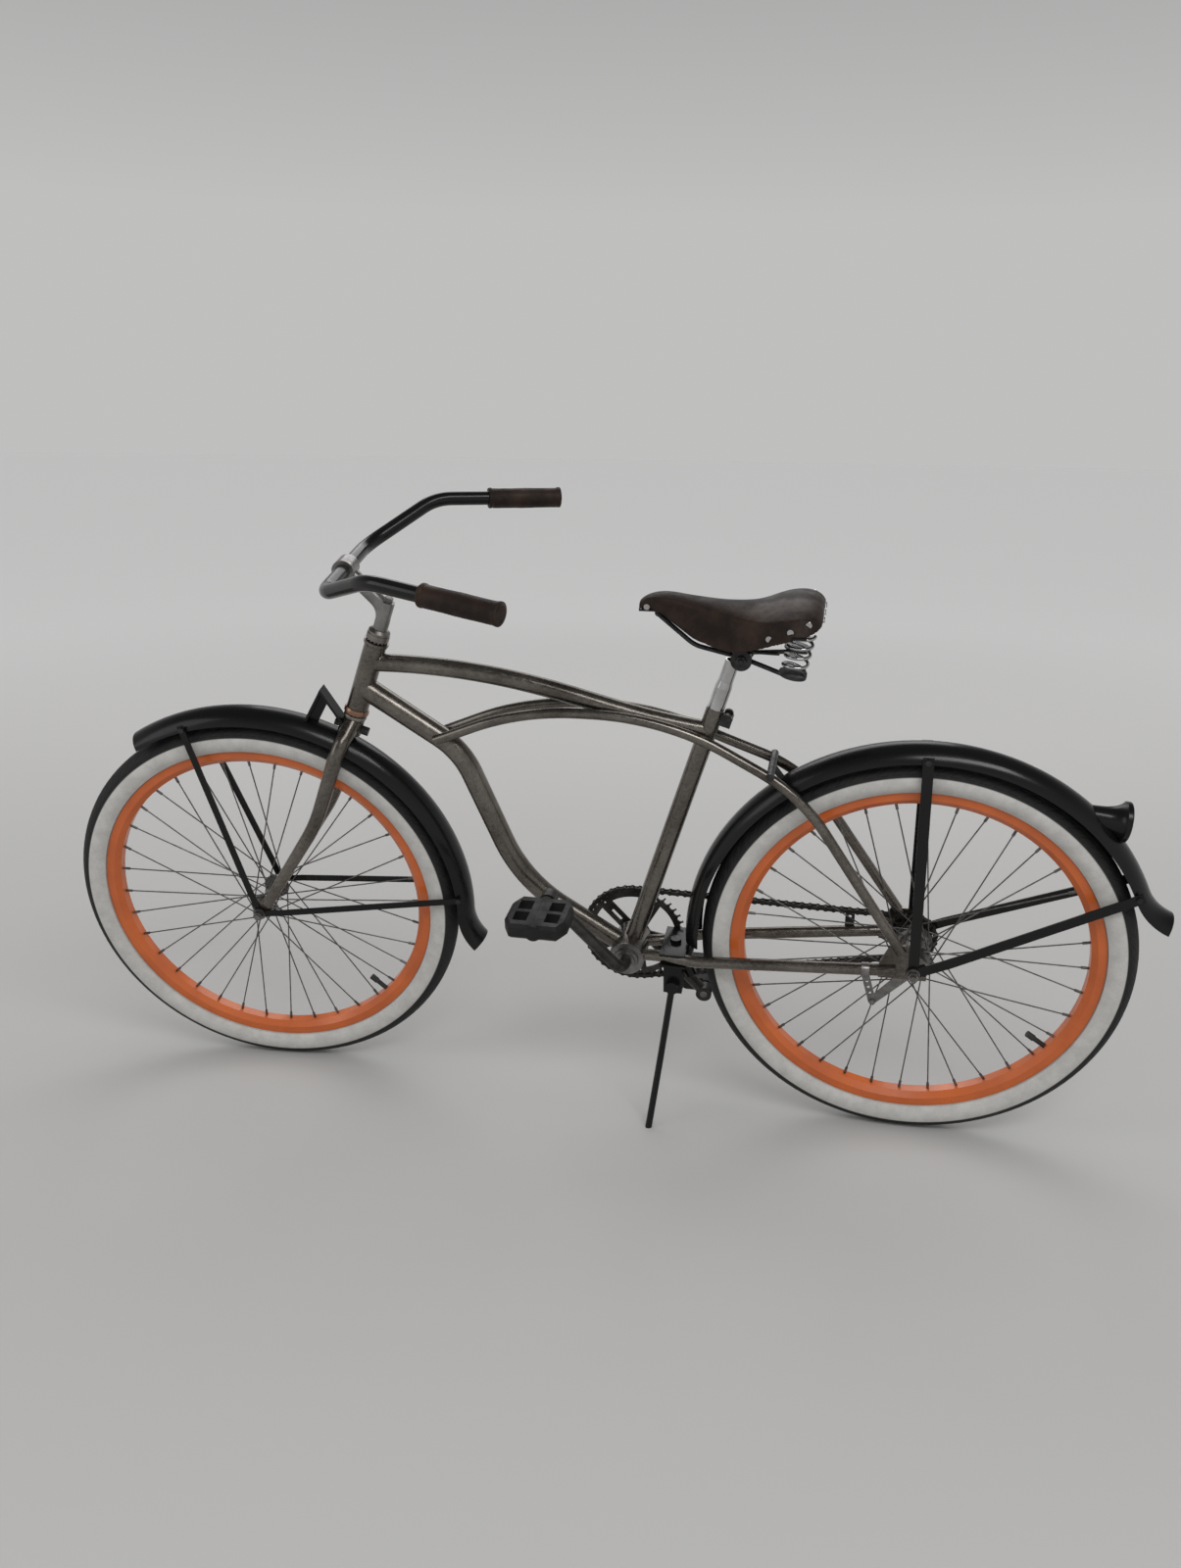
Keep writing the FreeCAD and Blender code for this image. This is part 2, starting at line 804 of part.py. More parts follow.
def head_envelope():
    """The head tube's outer cylinder, longer at both ends, for coping tubes to it."""
    return Part.makeCylinder(mm.head_tube_radius, mm.head_tube_length + 2 * mm.cut_overrun,
                             steered(mm.head_tube_start - mm.cut_overrun, 0), STEER_UP)


def seat_envelope():
    return Part.makeCylinder(mm.seat_tube_radius, mm.seat_tube_length + mm.cut_overrun, BRACKET, SEAT_UP)


def shell_envelope():
    return Part.makeCylinder(mm.bracket_shell_radius, 2 * mm.bracket_shell_half,
                             BRACKET - LEFT * mm.bracket_shell_half, LEFT)


def seat_tube():
    place = Placement(BRACKET, Rotation(UP, SEAT_UP))
    outer = cylinder("seat_tube_outer", size.seat_tube_radius, size.seat_tube_length, place)
    bore = cylinder("seat_tube_bore", size.post_radius + size.post_slide_gap, size.seat_tube_length, place)
    shell = cylinder("seat_tube_cope", size.bracket_shell_radius, size.bracket_shell_half * 2,
                     across(-mm.bracket_shell_half, BRACKET))
    node(cut("seat_tube", cut("seat_tube_pipe", outer, bore), shell), "seat_tube")


def bottom_bracket_shell():
    outer = cylinder("shell_outer", size.bracket_shell_radius, size.bracket_shell_half * 2)
    bore = cylinder("shell_bore", size.bracket_shell_bore, size.bracket_shell_half * 2)
    node(cut("bottom_bracket_shell", outer, bore), "bottom_bracket_shell",
         BIKE * across(-mm.bracket_shell_half, BRACKET))


def steer_axis_at(height):
    """The point of the steering axis at a height."""
    return STEER_FOOT + STEER_UP * ((height - STEER_FOOT.z) / STEER_UP.z)


def seat_axis_at(height):
    return BRACKET + SEAT_UP * ((height - BRACKET.z) / SEAT_UP.z)


def top_tube_path():
    points = [steer_axis_at(mm.top_tube_joint_up),
              Vector(mm.top_tube_front_x, 0, mm.top_tube_front_z),
              Vector(mm.top_tube_rear_x, 0, mm.top_tube_rear_z),
              seat_axis_at(mm.top_tube_end_up)]
    return rounded_path(points, (mm.top_tube_front_bend, mm.top_tube_rear_bend))


def down_tube_path():
    points = [steer_axis_at(mm.down_tube_joint_up),
              Vector(mm.down_tube_knee_x, 0, mm.down_tube_knee_z),
              Vector(mm.down_tube_foot_x, 0, mm.down_tube_foot_z),
              BRACKET]
    return rounded_path(points, (mm.down_tube_knee_bend, mm.down_tube_foot_bend))


def down_tube_solid():
    return bar_along(down_tube_path(), mm.down_tube_radius, mm.down_tube_end_radius)


def main_tubes():
    tube = tube_along(top_tube_path(), mm.top_tube_radius, mm.frame_wall)
    keep("top_tube", tube.cut([head_envelope(), seat_envelope()]))
    tube = tube_along(down_tube_path(), mm.down_tube_radius, mm.frame_wall, mm.down_tube_end_radius)
    top = bar_along(top_tube_path(), mm.top_tube_radius)
    keep("down_tube", tube.cut([head_envelope(), shell_envelope(), seat_envelope(), top]))


def arch_path():
    """The left arch stay, from the down tube over the crank to the rear dropout."""
    beside_seat = max(mm.seat_tube_radius, mm.top_tube_radius) + mm.arch_radius + mm.arch_side_gap
    joint = steer_axis_at(mm.down_tube_joint_up)
    knee = Vector(mm.down_tube_knee_x, 0, mm.down_tube_knee_z)
    start = joint + (knee - joint) * ARCH_START_SHARE
    points = [start + LEFT * mm.arch_start_y,
              Vector(mm.arch_front_x, beside_seat, mm.arch_front_z),
              Vector(mm.arch_crown_x, beside_seat, mm.arch_crown_z),
              Vector(mm.arch_flare_x, beside_seat, mm.arch_flare_z),
              Vector(mm.arch_knee_x, mm.arch_knee_y, mm.arch_knee_z),
              Vector(mm.arch_end_x, mm.arch_end_y, mm.arch_end_z)]
    bends = (mm.arch_front_bend, mm.arch_crown_bend, mm.arch_flare_bend, mm.arch_knee_bend)
    return rounded_path(points, bends)


def dropout(side):
    """A rear dropout plate with a slot that is open to the back."""
    outline = [Vector(-mm.dropout_back, 0, -mm.dropout_half_height),
               Vector(mm.dropout_front, 0, -mm.dropout_half_height),
               Vector(mm.dropout_front, 0, mm.dropout_half_height),
               Vector(mm.dropout_top_front, 0, mm.dropout_top),
               Vector(mm.dropout_top_back, 0, mm.dropout_top),
               Vector(-mm.dropout_back, 0, mm.dropout_half_height)]
    slot_half = mm.axle_radius + mm.axle_slot_gap
    start = mm.rear_lock_half
    slot = box(Vector(-mm.dropout_back - mm.cut_overrun, start, -slot_half),
               Vector(0, start + mm.dropout_thickness, slot_half))
    seat = Part.makeCylinder(slot_half, mm.dropout_thickness, Vector(0, start, 0), LEFT)
    shape = plate(outline, mm.dropout_thickness, start).cut([slot, seat])
    return shape if side > 0 else mirrored(shape)


def chain_stay_path():
    """The left chain stay, from the bottom bracket past the tyre to the dropout."""
    end = Vector(mm.chain_stay_end_x, mm.chain_stay_end_y, mm.chain_stay_end_z)

    def height(x):
        share = (BRACKET.x - x) / (BRACKET.x - end.x)
        return BRACKET.z + share * (end.z - BRACKET.z)

    points = [Vector(BRACKET.x, mm.chain_stay_start_y, BRACKET.z),
              Vector(mm.chain_stay_bend_x, mm.chain_stay_bend_y, height(mm.chain_stay_bend_x)),
              Vector(mm.chain_stay_wide_x, mm.chain_stay_wide_y, height(mm.chain_stay_wide_x)),
              end]
    return rounded_path(points, (mm.chain_stay_bend, mm.chain_stay_bend))


def chain_stay_solid(side):
    bar = bar_along(chain_stay_path(), mm.chain_stay_radius)
    return bar if side > 0 else mirrored(bar)


def arch_stays():
    bar = tube_along(arch_path(), mm.arch_radius, mm.arch_wall)
    left = bar.cut([down_tube_solid(), dropout(1), chain_stay_solid(1)])
    left = max(left.Solids, key=lambda solid: solid.Volume)
    keep("arch_stays", Part.makeCompound([left, mirrored(left)]))


def chain_stays():
    bore = bar_along(chain_stay_path(), mm.chain_stay_radius - mm.frame_wall)
    slot_clear = Part.makeCylinder(mm.washer_radius, 2 * mm.rear_axle_half,
                                   Vector(0, mm.rear_lock_half + mm.dropout_thickness, 0), LEFT)
    left = chain_stay_solid(1).cut([bore, slot_clear]).fuse(dropout(1)).cut(shell_envelope())
    left = max(left.removeSplitter().Solids, key=lambda solid: solid.Volume)
    keep("chain_stays", Part.makeCompound([left, mirrored(left)]))


def guard_hole_place():
    """Outer mouth of the chain guard tab's hole."""
    return Vector(mm.guard_tab_x + mm.guard_tab_width / 2, -mm.chain_stay_end_y,
                  mm.guard_tab_height - 2 * mm.guard_tab_hole)


def frame_bridges():
    """The bridge between the arch stays, the low bridge and the chain guard tab."""
    arch = bar_along(arch_path(), mm.arch_radius)
    bridge = rod(Vector(mm.bridge_x, -mm.arch_knee_y, mm.bridge_z),
                 Vector(mm.bridge_x, mm.arch_knee_y, mm.bridge_z), mm.bridge_radius)
    bridge = bridge.cut([arch, mirrored(arch)])
    bridge = min(bridge.Solids, key=lambda solid: abs(solid.CenterOfMass.y))
    stays = [chain_stay_solid(1), chain_stay_solid(-1)]
    height = BRACKET.z * mm.low_bridge_x / BRACKET.x
    low = rod(Vector(mm.low_bridge_x, -mm.chain_stay_end_y, height),
              Vector(mm.low_bridge_x, mm.chain_stay_end_y, height), mm.bridge_radius).cut(stays)
    low = min(low.Solids, key=lambda solid: abs(solid.CenterOfMass.y))
    outer = mm.chain_stay_end_y
    tab = box(Vector(mm.guard_tab_x, -outer, BRACKET.z * mm.guard_tab_x / BRACKET.x),
              Vector(mm.guard_tab_x + mm.guard_tab_width, -outer + mm.guard_tab_thickness,
                     mm.guard_tab_height))
    hole = Part.makeCylinder(mm.guard_tab_hole, mm.guard_tab_thickness, guard_hole_place(), LEFT)
    tab = tab.cut(stays + [hole])
    tab = max(tab.Solids, key=lambda solid: solid.CenterOfMass.z)
    keep("frame_bridges", Part.makeCompound([bridge, low, tab]))


# Headset and fork
def headset_cups():
    """Upper and lower bearing cups, pressed into the head tube."""
    corners = [(size.steerer_radius + size.running_gap, -size.cup_depth),
               (size.head_tube_bore, -size.cup_depth),
               (size.head_tube_bore, 0),
               (size.cup_waist_radius, 0),
               (size.cup_flange_radius, size.cup_flange_height / 2),
               (size.cup_flange_radius, size.cup_flange_height),
               (size.steerer_radius + size.running_gap, size.cup_flange_height)]
    upper = turned("upper_cup", corners, along_steering(mm.head_tube_start + mm.head_tube_length))
    lower = turned("lower_cup", corners,
                   Placement(steered(mm.head_tube_start, 0), Rotation(UP, -STEER_UP)))
    group("headset_cups", [upper, lower])


def crown_race_top():
    """Place of the crown race's upper face along the steering axis."""
    return mm.head_tube_start - mm.cup_flange_height - 2 * mm.headset_ball_radius


def top_race_bottom():
    return mm.head_tube_start + mm.head_tube_length + mm.cup_flange_height + 2 * mm.headset_ball_radius


def headset_races():
    """Crown race, threaded top race and lock nut, all on the steerer."""
    crown = turned("crown_race", [(size.steerer_radius, 0),
                                  (size.race_outer_radius, 0),
                                  (size.race_outer_radius, size.race_height / 2),
                                  (size.steerer_radius + size.race_height, size.race_height),
                                  (size.steerer_radius, size.race_height)],
                   along_steering(crown_race_top() - mm.race_height))
    top = turned("top_race", [(size.steerer_radius, 0),
                              (size.top_race_radius, 0),
                              (size.top_race_radius, size.top_race_height),
                              (size.steerer_radius, size.top_race_height)],
                 along_steering(top_race_bottom()))
    nut = turned("lock_nut", [(size.steerer_bore, 0),
                              (size.locknut_radius, 0),
                              (size.locknut_radius, size.locknut_height / 2),
                              (size.steerer_radius, size.locknut_height),
                              (size.steerer_bore, size.locknut_height)],
                 along_steering(top_race_bottom() + mm.top_race_height))
    group("headset_races", [crown, top, nut], STEERING)


def crown_top():
    return crown_race_top() - mm.race_height


def fork_crown():
    """Steerer tube and crown, turned as one."""
    length = size.head_tube_length + size.cup_flange_height * 2 + size.headset_ball_radius * 4
    length = length + size.race_height + size.top_race_height
    body = turned("fork_crown", [(size.steerer_bore, -size.crown_height),
                                 (size.crown_radius, -size.crown_height),
                                 (size.crown_radius, 0),
                                 (size.steerer_radius, 0),
                                 (size.steerer_radius, length),
                                 (size.steerer_bore, length)])
    node(body, "fork_crown", STEERING * along_steering(crown_top()))


def crown_envelope():
    return Part.makeCylinder(mm.crown_radius, mm.crown_height + mm.race_height,
                             steered(crown_top() - mm.crown_height, 0), STEER_UP)


def blade_path():
    points = [steered(crown_top() - mm.blade_top_drop, 0, mm.blade_top_left),
              steered(mm.blade_shoulder_along, mm.blade_shoulder_forward, mm.blade_shoulder_left),
              steered(mm.blade_rake_along, mm.blade_rake_forward, mm.blade_rake_left),
              steered(mm.blade_end_along, mm.blade_end_forward, mm.blade_end_left)]
    return rounded_path(points, (mm.blade_shoulder_bend, mm.blade_rake_bend))


def fork_end():
    """The flat axle tab at the foot of the left blade."""
    end = steered(mm.blade_end_along, mm.blade_end_forward) - FRONT_AXLE
    lean = Rotation(UP, end)
    start = FRONT_AXLE + LEFT * mm.front_lock_half
    eye = Part.makeCylinder(mm.fork_end_half_width, mm.fork_end_thickness, start, LEFT)
    tab = box(Vector(-mm.fork_end_half_width, 0, 0),
              Vector(mm.fork_end_half_width, mm.fork_end_thickness, end.Length + mm.cut_overrun))
    tab.Placement = Placement(start, lean)
    hole = Part.makeCylinder(mm.axle_radius + mm.axle_slot_gap, mm.fork_end_thickness, start, LEFT)
    return eye.fuse(tab).cut(hole)


def fork_blades():
    outer = bar_along(blade_path(), mm.blade_top_radius, mm.blade_end_radius)
    inner = bar_along(blade_path(), mm.blade_top_radius - mm.blade_wall, mm.blade_end_radius - mm.blade_wall)
    below_race = Part.makeCylinder(mm.race_outer_radius + mm.crown_radius, mm.race_height,
                                   steered(crown_top(), 0), STEER_UP)
    other_half = box(Vector(0, -mm.wheel_base, -mm.wheel_base),
                     Vector(2 * mm.wheel_base, 0, mm.wheel_base))
    left = outer.cut(inner).fuse(fork_end()).cut([crown_envelope(), below_race, other_half])
    left = max(left.Solids, key=lambda solid: solid.Volume)
    keep("fork_blades", Part.makeCompound([left, mirrored(left)]), STEERING)


def stem_path():
    clamp = steered(mm.clamp_along, mm.clamp_forward)
    knee = steered(mm.quill_top_along - mm.stem_neck_radius, 0)
    low = steered(mm.locknut_top_along + mm.running_gap, 0)
    return rounded_path([low, knee, clamp], (mm.stem_knee_bend,))


def clamp_bolt_place():
    """The clamp bolt's axis, below the bar and square to it."""
    clamp = steered(mm.clamp_along, mm.clamp_forward)
    return clamp - STEER_UP * (mm.clamp_radius + mm.clamp_ear_length / 2)


def stem():
    quill = rod(steered(mm.quill_bottom_along, 0), steered(mm.quill_top_along, 0), mm.steerer_bore)
    neck = bar_along(stem_path(), mm.stem_neck_radius)
    clamp = steered(mm.clamp_along, mm.clamp_forward)
    width = LEFT * mm.clamp_half_width
    ring = Part.makeCylinder(mm.clamp_radius, 2 * mm.clamp_half_width, clamp - width, LEFT)
    ear_end = mm.clamp_radius + mm.clamp_ear_length - mm.bar_wall
    ear = box(Vector(-mm.clamp_ear_thickness, -mm.clamp_ear_width / 2, -ear_end),
              Vector(mm.clamp_ear_thickness, mm.clamp_ear_width / 2, 0))
    ear.Placement = Placement(clamp, Rotation(UP, STEER_UP))
    slit_half = mm.clamp_half_width + mm.cut_overrun
    bar = Part.makeCylinder(mm.bar_radius, 2 * slit_half, clamp - LEFT * slit_half, LEFT)
    slit = box(Vector(-mm.clamp_slit / 2, -slit_half, -ear_end - mm.cut_overrun),
               Vector(mm.clamp_slit / 2, slit_half, 0))
    slit.Placement = Placement(clamp, Rotation(UP, STEER_UP))
    shape = quill.fuse([neck, ring, ear]).cut([bar, expander_bolt(), clamp_bolt(), slit, wedge_space()])
    keep("stem", shape.removeSplitter(), STEERING)


def wedge_space():
    """The slanted end of the quill, where the expander wedge sits."""
    low = steered(mm.quill_bottom_along, 0)
    block = Part.makeBox(4 * mm.steerer_bore, 4 * mm.steerer_bore, 2 * mm.wedge_height)
    slant = Rotation(LEFT, mm.wedge_slant)
    corner = slant.multVec(Vector(-2 * mm.steerer_bore, -2 * mm.steerer_bore, -2 * mm.wedge_height))
    middle = Placement(low + STEER_UP * mm.wedge_height / 2, Rotation(UP, STEER_UP))
    block.Placement = middle * Placement(corner, slant)
    return block


def clamp_bolt():
    """The bar clamp's bolt and nut."""
    centre = clamp_bolt_place()
    reach = STEER_FORWARD * mm.clamp_ear_thickness
    heads = [hexagon(mm.clamp_bolt_head_radius, mm.clamp_bolt_head_height, centre + reach, STEER_FORWARD),
             hexagon(mm.clamp_bolt_head_radius, mm.clamp_bolt_head_height, centre - reach, -STEER_FORWARD)]
    return rod(centre - reach, centre + reach, mm.clamp_bolt_radius).fuse(heads)


def expander_bolt():
    """The long bolt down the quill, head included."""
    top = steered(mm.quill_top_along, 0)
    low = steered(mm.quill_bottom_along - mm.wedge_height / 2, 0)
    head = hexagon(mm.expander_head_radius, mm.expander_head_height, top, STEER_UP)
    return rod(low, top, mm.expander_radius).fuse(head)


def stem_bolts():
    """Expander bolt, its wedge nut and the bar clamp bolt."""
    low = steered(mm.quill_bottom_along - mm.wedge_height / 2, 0)
    wedge = rod(low, low + STEER_UP * 2 * mm.wedge_height, mm.steerer_bore).common(wedge_space())
    wedge = wedge.cut(expander_bolt())
    keep("stem_bolts", Part.makeCompound([expander_bolt(), wedge, clamp_bolt()]), STEERING)


def bar_points():
    """The left half of the handlebar: from the clamp out, then swept back to the grip."""
    clamp = steered(mm.clamp_along, mm.clamp_forward)
    return [clamp,
            clamp + LEFT * mm.bar_bend_y,
            Vector(mm.bar_sweep_x, mm.bar_sweep_y, mm.bar_sweep_z),
            Vector(mm.bar_end_x, mm.bar_end_y, mm.bar_end_z)]


def bar_path():
    left = bar_points()
    right = [Vector(p.x, -p.y, p.z) for p in left[1:]]
    points = [*reversed(left[1:]), *right]
    return rounded_path(points, (mm.bar_sweep_bend, mm.bar_bend, mm.bar_bend, mm.bar_sweep_bend))


def handlebar():
    keep("handlebar", tube_along(bar_path(), mm.bar_radius, mm.bar_wall), STEERING)


def handlebar_grips():
    corners = [(size.bar_radius, 0),
               (size.grip_flange_radius, 0),
               (size.grip_flange_radius, size.grip_flange_length),
               (size.grip_radius, size.grip_flange_length * GRIP_NECK_SHARE),
               (size.grip_radius, size.grip_length - size.grip_flange_length),
               (size.grip_flange_radius, size.grip_length),
               (size.grip_flange_radius, size.grip_length + size.grip_cap),
               (0, size.grip_length + size.grip_cap),
               (0, size.grip_length),
               (size.bar_radius, size.grip_length)]
    grips = []
    for side in SIDES:
        before, end = [Vector(p.x, p.y * side, p.z) for p in bar_points()[2:]]
        outward = (end - before).normalize()
        place = Placement(end - outward * mm.grip_length, Rotation(UP, outward))
        grips.append(turned(f"grip_{'left' if side > 0 else 'right'}", corners, place))
    group("handlebar_grips", grips, STEERING)


# Wheels
def tyre_shape():
    """Tyre casing: a round section, open to the rim, with two beads."""
    low = mm.rim_outer_radius + mm.rim_gap
    drop = mm.ring_centre_radius - low
    outer_half = math.sqrt(mm.tyre_section_radius ** 2 - drop ** 2)
    inner_half = math.sqrt(mm.tyre_cavity_radius ** 2 - drop ** 2)
    bead_half = mm.rim_half_width - mm.rim_wall

    def at(radius, left):
        return Vector(radius, left, 0)

    outer = Part.Arc(at(low, outer_half), at(mm.tyre_outer_radius, 0), at(low, -outer_half))
    roof = at(mm.ring_centre_radius + mm.tyre_cavity_radius, 0)
    inner = Part.Arc(at(low, -inner_half), roof, at(low, inner_half))
    right = [at(low, -outer_half), at(low, -bead_half), at(mm.bead_radius, -bead_half),
             at(mm.bead_radius, -mm.bead_inner_half), at(low, -inner_half)]
    left = [Vector(p.x, -p.y, 0) for p in reversed(right)]
    edges = [outer.toShape(), *Part.makePolygon(right).Edges, inner.toShape(), *Part.makePolygon(left).Edges]
    return Part.Face(Part.Wire(edges)).revolve(ORIGIN, LEFT, FULL_TURN)


def valve_direction(angle):
    return polar(1, angle)


def inner_tube(angle):
    """Inner tube with its valve stem."""
    minor = mm.tyre_cavity_radius - mm.tube_gap
    shell = Part.makeTorus(mm.ring_centre_radius, minor, ORIGIN, LEFT).cut(
        Part.makeTorus(mm.ring_centre_radius, minor - mm.tube_wall, ORIGIN, LEFT))
    out = valve_direction(angle)
    root = out * (mm.ring_centre_radius - minor + mm.tube_wall + mm.valve_radius)
    low = out * (mm.rim_bed_radius - mm.valve_length)
    cap = rod(low, low + out * mm.valve_cap_length, mm.valve_cap_radius)
    cavity = Part.makeTorus(mm.ring_centre_radius, minor - mm.tube_wall, ORIGIN, LEFT)
    stem_rod = rod(low, root, mm.valve_radius).cut(cavity)
    return shell.fuse([stem_rod, cap])


def rim(label, angle, place):
    """A painted steel rim: a channel with a hole for the valve."""
    wall = size.rim_wall
    low = size.rim_outer_radius - size.rim_side_depth
    half = [(size.rim_outer_radius, size.rim_half_width),
            (low, size.rim_half_width),
            (size.rim_bed_radius, size.rim_bed_half)]
    inner = [(size.rim_bed_radius + wall, size.rim_bed_half - wall / 2),
             (low + wall / 2, size.rim_half_width - wall),
             (size.rim_outer_radius, size.rim_half_width - wall)]
    right = [(a, -b) for a, b in reversed(half)]
    inner_right = [(a, -b) for a, b in reversed(inner)]
    body = turned(f"{label}_channel", half + right + inner_right + inner, across())
    hole = doc.addObject("Part::Feature", f"{label}_valve_hole")
    out = valve_direction(angle)
    hole.Shape = rod(out * (mm.rim_bed_radius - mm.cut_overrun), out * mm.rim_outer_radius,
                     mm.valve_radius + mm.valve_hole_gap)
    node(cut(label, body, hole), label, place)


def spoke_shape(flange_half, hole_circle, hub_angle, rim_angle, outside):
    """One laced spoke: head, elbow through the flange, shank and nipple."""
    half = mm.flange_thickness / 2
    face = flange_half + outside * (half + mm.spoke_radius + mm.spoke_lift)
    back = flange_half - outside * half
    hub = polar(hole_circle, hub_angle, face)
    behind = polar(hole_circle, hub_angle, back)
    head_end = polar(hole_circle, hub_angle, back - outside * mm.spoke_head_thickness)
    bed = polar(mm.rim_bed_radius, rim_angle)
    inward = (hub - bed).normalize()
    nipple = rod(bed + inward * mm.nipple_length, bed, mm.nipple_radius)
    shank = rod(hub, bed, mm.spoke_radius)
    elbow = rod(behind, hub, mm.spoke_radius)
    knob = rod(head_end, behind, mm.spoke_head_radius)
    bend = Part.makeSphere(mm.spoke_radius, hub)
    trim = ring_shape(mm.rim_outer_radius, mm.rim_bed_radius, 2 * mm.rim_half_width,
                      LEFT * -mm.rim_half_width, LEFT)
    return shank.fuse([elbow, knob, bend, nipple]).cut(trim)


def spokes(label, flange_half, hole_circle, place):
    """Both sides' spokes: four laced patterns, each repeated round the wheel."""
    per_side = int(mm.spoke_count) // 2
    step = FULL_TURN / per_side
    lead = mm.spoke_crosses * step
    pieces = []
    for side in SIDES:
        shift = 0 if side > 0 else step / 2
        for first, turn in ((0, 1), (1, -1)):
            hub_angle = shift + first * step
            pattern = spoke_shape(flange_half, hole_circle, hub_angle, hub_angle + turn * lead, turn)
            if side < 0:
                pattern = spoke_shape(-flange_half, hole_circle, hub_angle, hub_angle + turn * lead, -turn)
            for i in range(per_side // 2):
                copy = pattern.copy()
                copy.rotate(ORIGIN, LEFT, -2 * step * i)
                pieces.append(copy)
    keep(label, Part.makeCompound(pieces), place)


def hub(label, flange_radius, flange_half, shell_half, barrel, collar, bore_corners, place):
    """A turned hub shell with drilled flanges, the same on both sides of its middle."""
    half_flange = size.flange_thickness / 2
    left = [(barrel, flange_half - half_flange - size.flange_taper * 3),
            (collar, flange_half - half_flange - size.flange_taper),
            (flange_radius - size.flange_edge * 2, flange_half - half_flange),
            (flange_radius, flange_half - half_flange),
            (flange_radius, flange_half + half_flange),
            (collar, flange_half + half_flange),
            (collar, shell_half),
            *bore_corners]
    right = [(radius, -place_left) for radius, place_left in reversed(left)]
    body = turned(f"{label}_shell", left + right, across())
    circle = plain(flange_radius) - mm.flange_edge
    per_side = int(mm.spoke_count) // 2
    step = FULL_TURN / per_side
    drills = []
    for side in SIDES:
        shift = 0 if side > 0 else step / 2
        start = side * plain(flange_half) - mm.flange_thickness
        for i in range(per_side):
            drills.append(Part.makeCylinder(mm.spoke_radius + mm.spoke_hole_gap, 2 * mm.flange_thickness,
                                            polar(circle, shift + i * step, start), LEFT))
    tool = doc.addObject("Part::Feature", f"{label}_drills")
    tool.Shape = Part.makeCompound(drills)
    node(cut(label, body, tool), label, place)


def front_wheel():
    place = STEERING * Placement(FRONT_AXLE, Rotation())
    bore = size.axle_radius + size.hub_bore_gap
    recess = [(size.race_radius, size.front_shell_half),
              (size.race_radius, size.front_shell_half - size.race_depth),
              (bore, size.front_shell_half - size.race_depth)]
    hub("front_hub", size.front_flange_radius, size.front_flange_half, size.front_shell_half,
        size.front_barrel_radius, size.race_radius + size.hub_collar_wall, recess, place)
    rim("front_rim", mm.front_valve_angle, place)
    keep("front_tyre", tyre_shape(), place)
    spokes("front_spokes", mm.front_flange_half, mm.front_flange_radius - mm.flange_edge, place)
    keep("front_inner_tube", inner_tube(mm.front_valve_angle), place)


def rear_wheel():
    drum = [(size.brake_drum_radius, size.rear_shell_half)]
    hub("rear_hub", size.rear_flange_radius, size.rear_flange_half, size.rear_shell_half,
        size.rear_barrel_radius, size.brake_drum_radius + size.hub_collar_wall, drum, BIKE)
    rim("rear_rim", mm.rear_valve_angle, BIKE)
    keep("rear_tyre", tyre_shape(), BIKE)
    spokes("rear_spokes", mm.rear_flange_half, mm.rear_flange_radius - mm.flange_edge, BIKE)
    keep("rear_inner_tube", inner_tube(mm.rear_valve_angle), BIKE)


def nut_pair(start):
    """Axle washers and nuts outside the fender stays."""
    pieces = []
    for side in SIDES:
        face = LEFT * side * start
        outward = LEFT * side
        pieces.append(ring_shape(mm.washer_radius, mm.axle_radius, mm.washer_thickness, face, outward))
        nut = hexagon(mm.nut_radius, mm.nut_length, face + outward * mm.washer_thickness, outward)
        bore = Part.makeCylinder(mm.axle_radius, mm.nut_length + mm.cut_overrun,
                                 face + outward * mm.washer_thickness, outward)
        pieces.append(nut.cut(bore))
    return pieces


def front_axle_set():
    """Front axle with its cones, washers and nuts."""
    half = mm.front_axle_half
    pieces = [rod(LEFT * -half, LEFT * half, mm.axle_radius)]
    cone_start = mm.front_shell_half - mm.race_depth + mm.running_gap
    for side in SIDES:
        pieces.append(ring_shape(mm.cone_radius, mm.axle_radius, mm.front_lock_half - cone_start,
                                 LEFT * side * cone_start, LEFT * side))
    pieces += nut_pair(mm.front_lock_half + mm.fork_end_thickness + 2 * mm.stay_thickness)
    keep("front_axle_set", Part.makeCompound(pieces), STEERING * Placement(FRONT_AXLE, Rotation()))


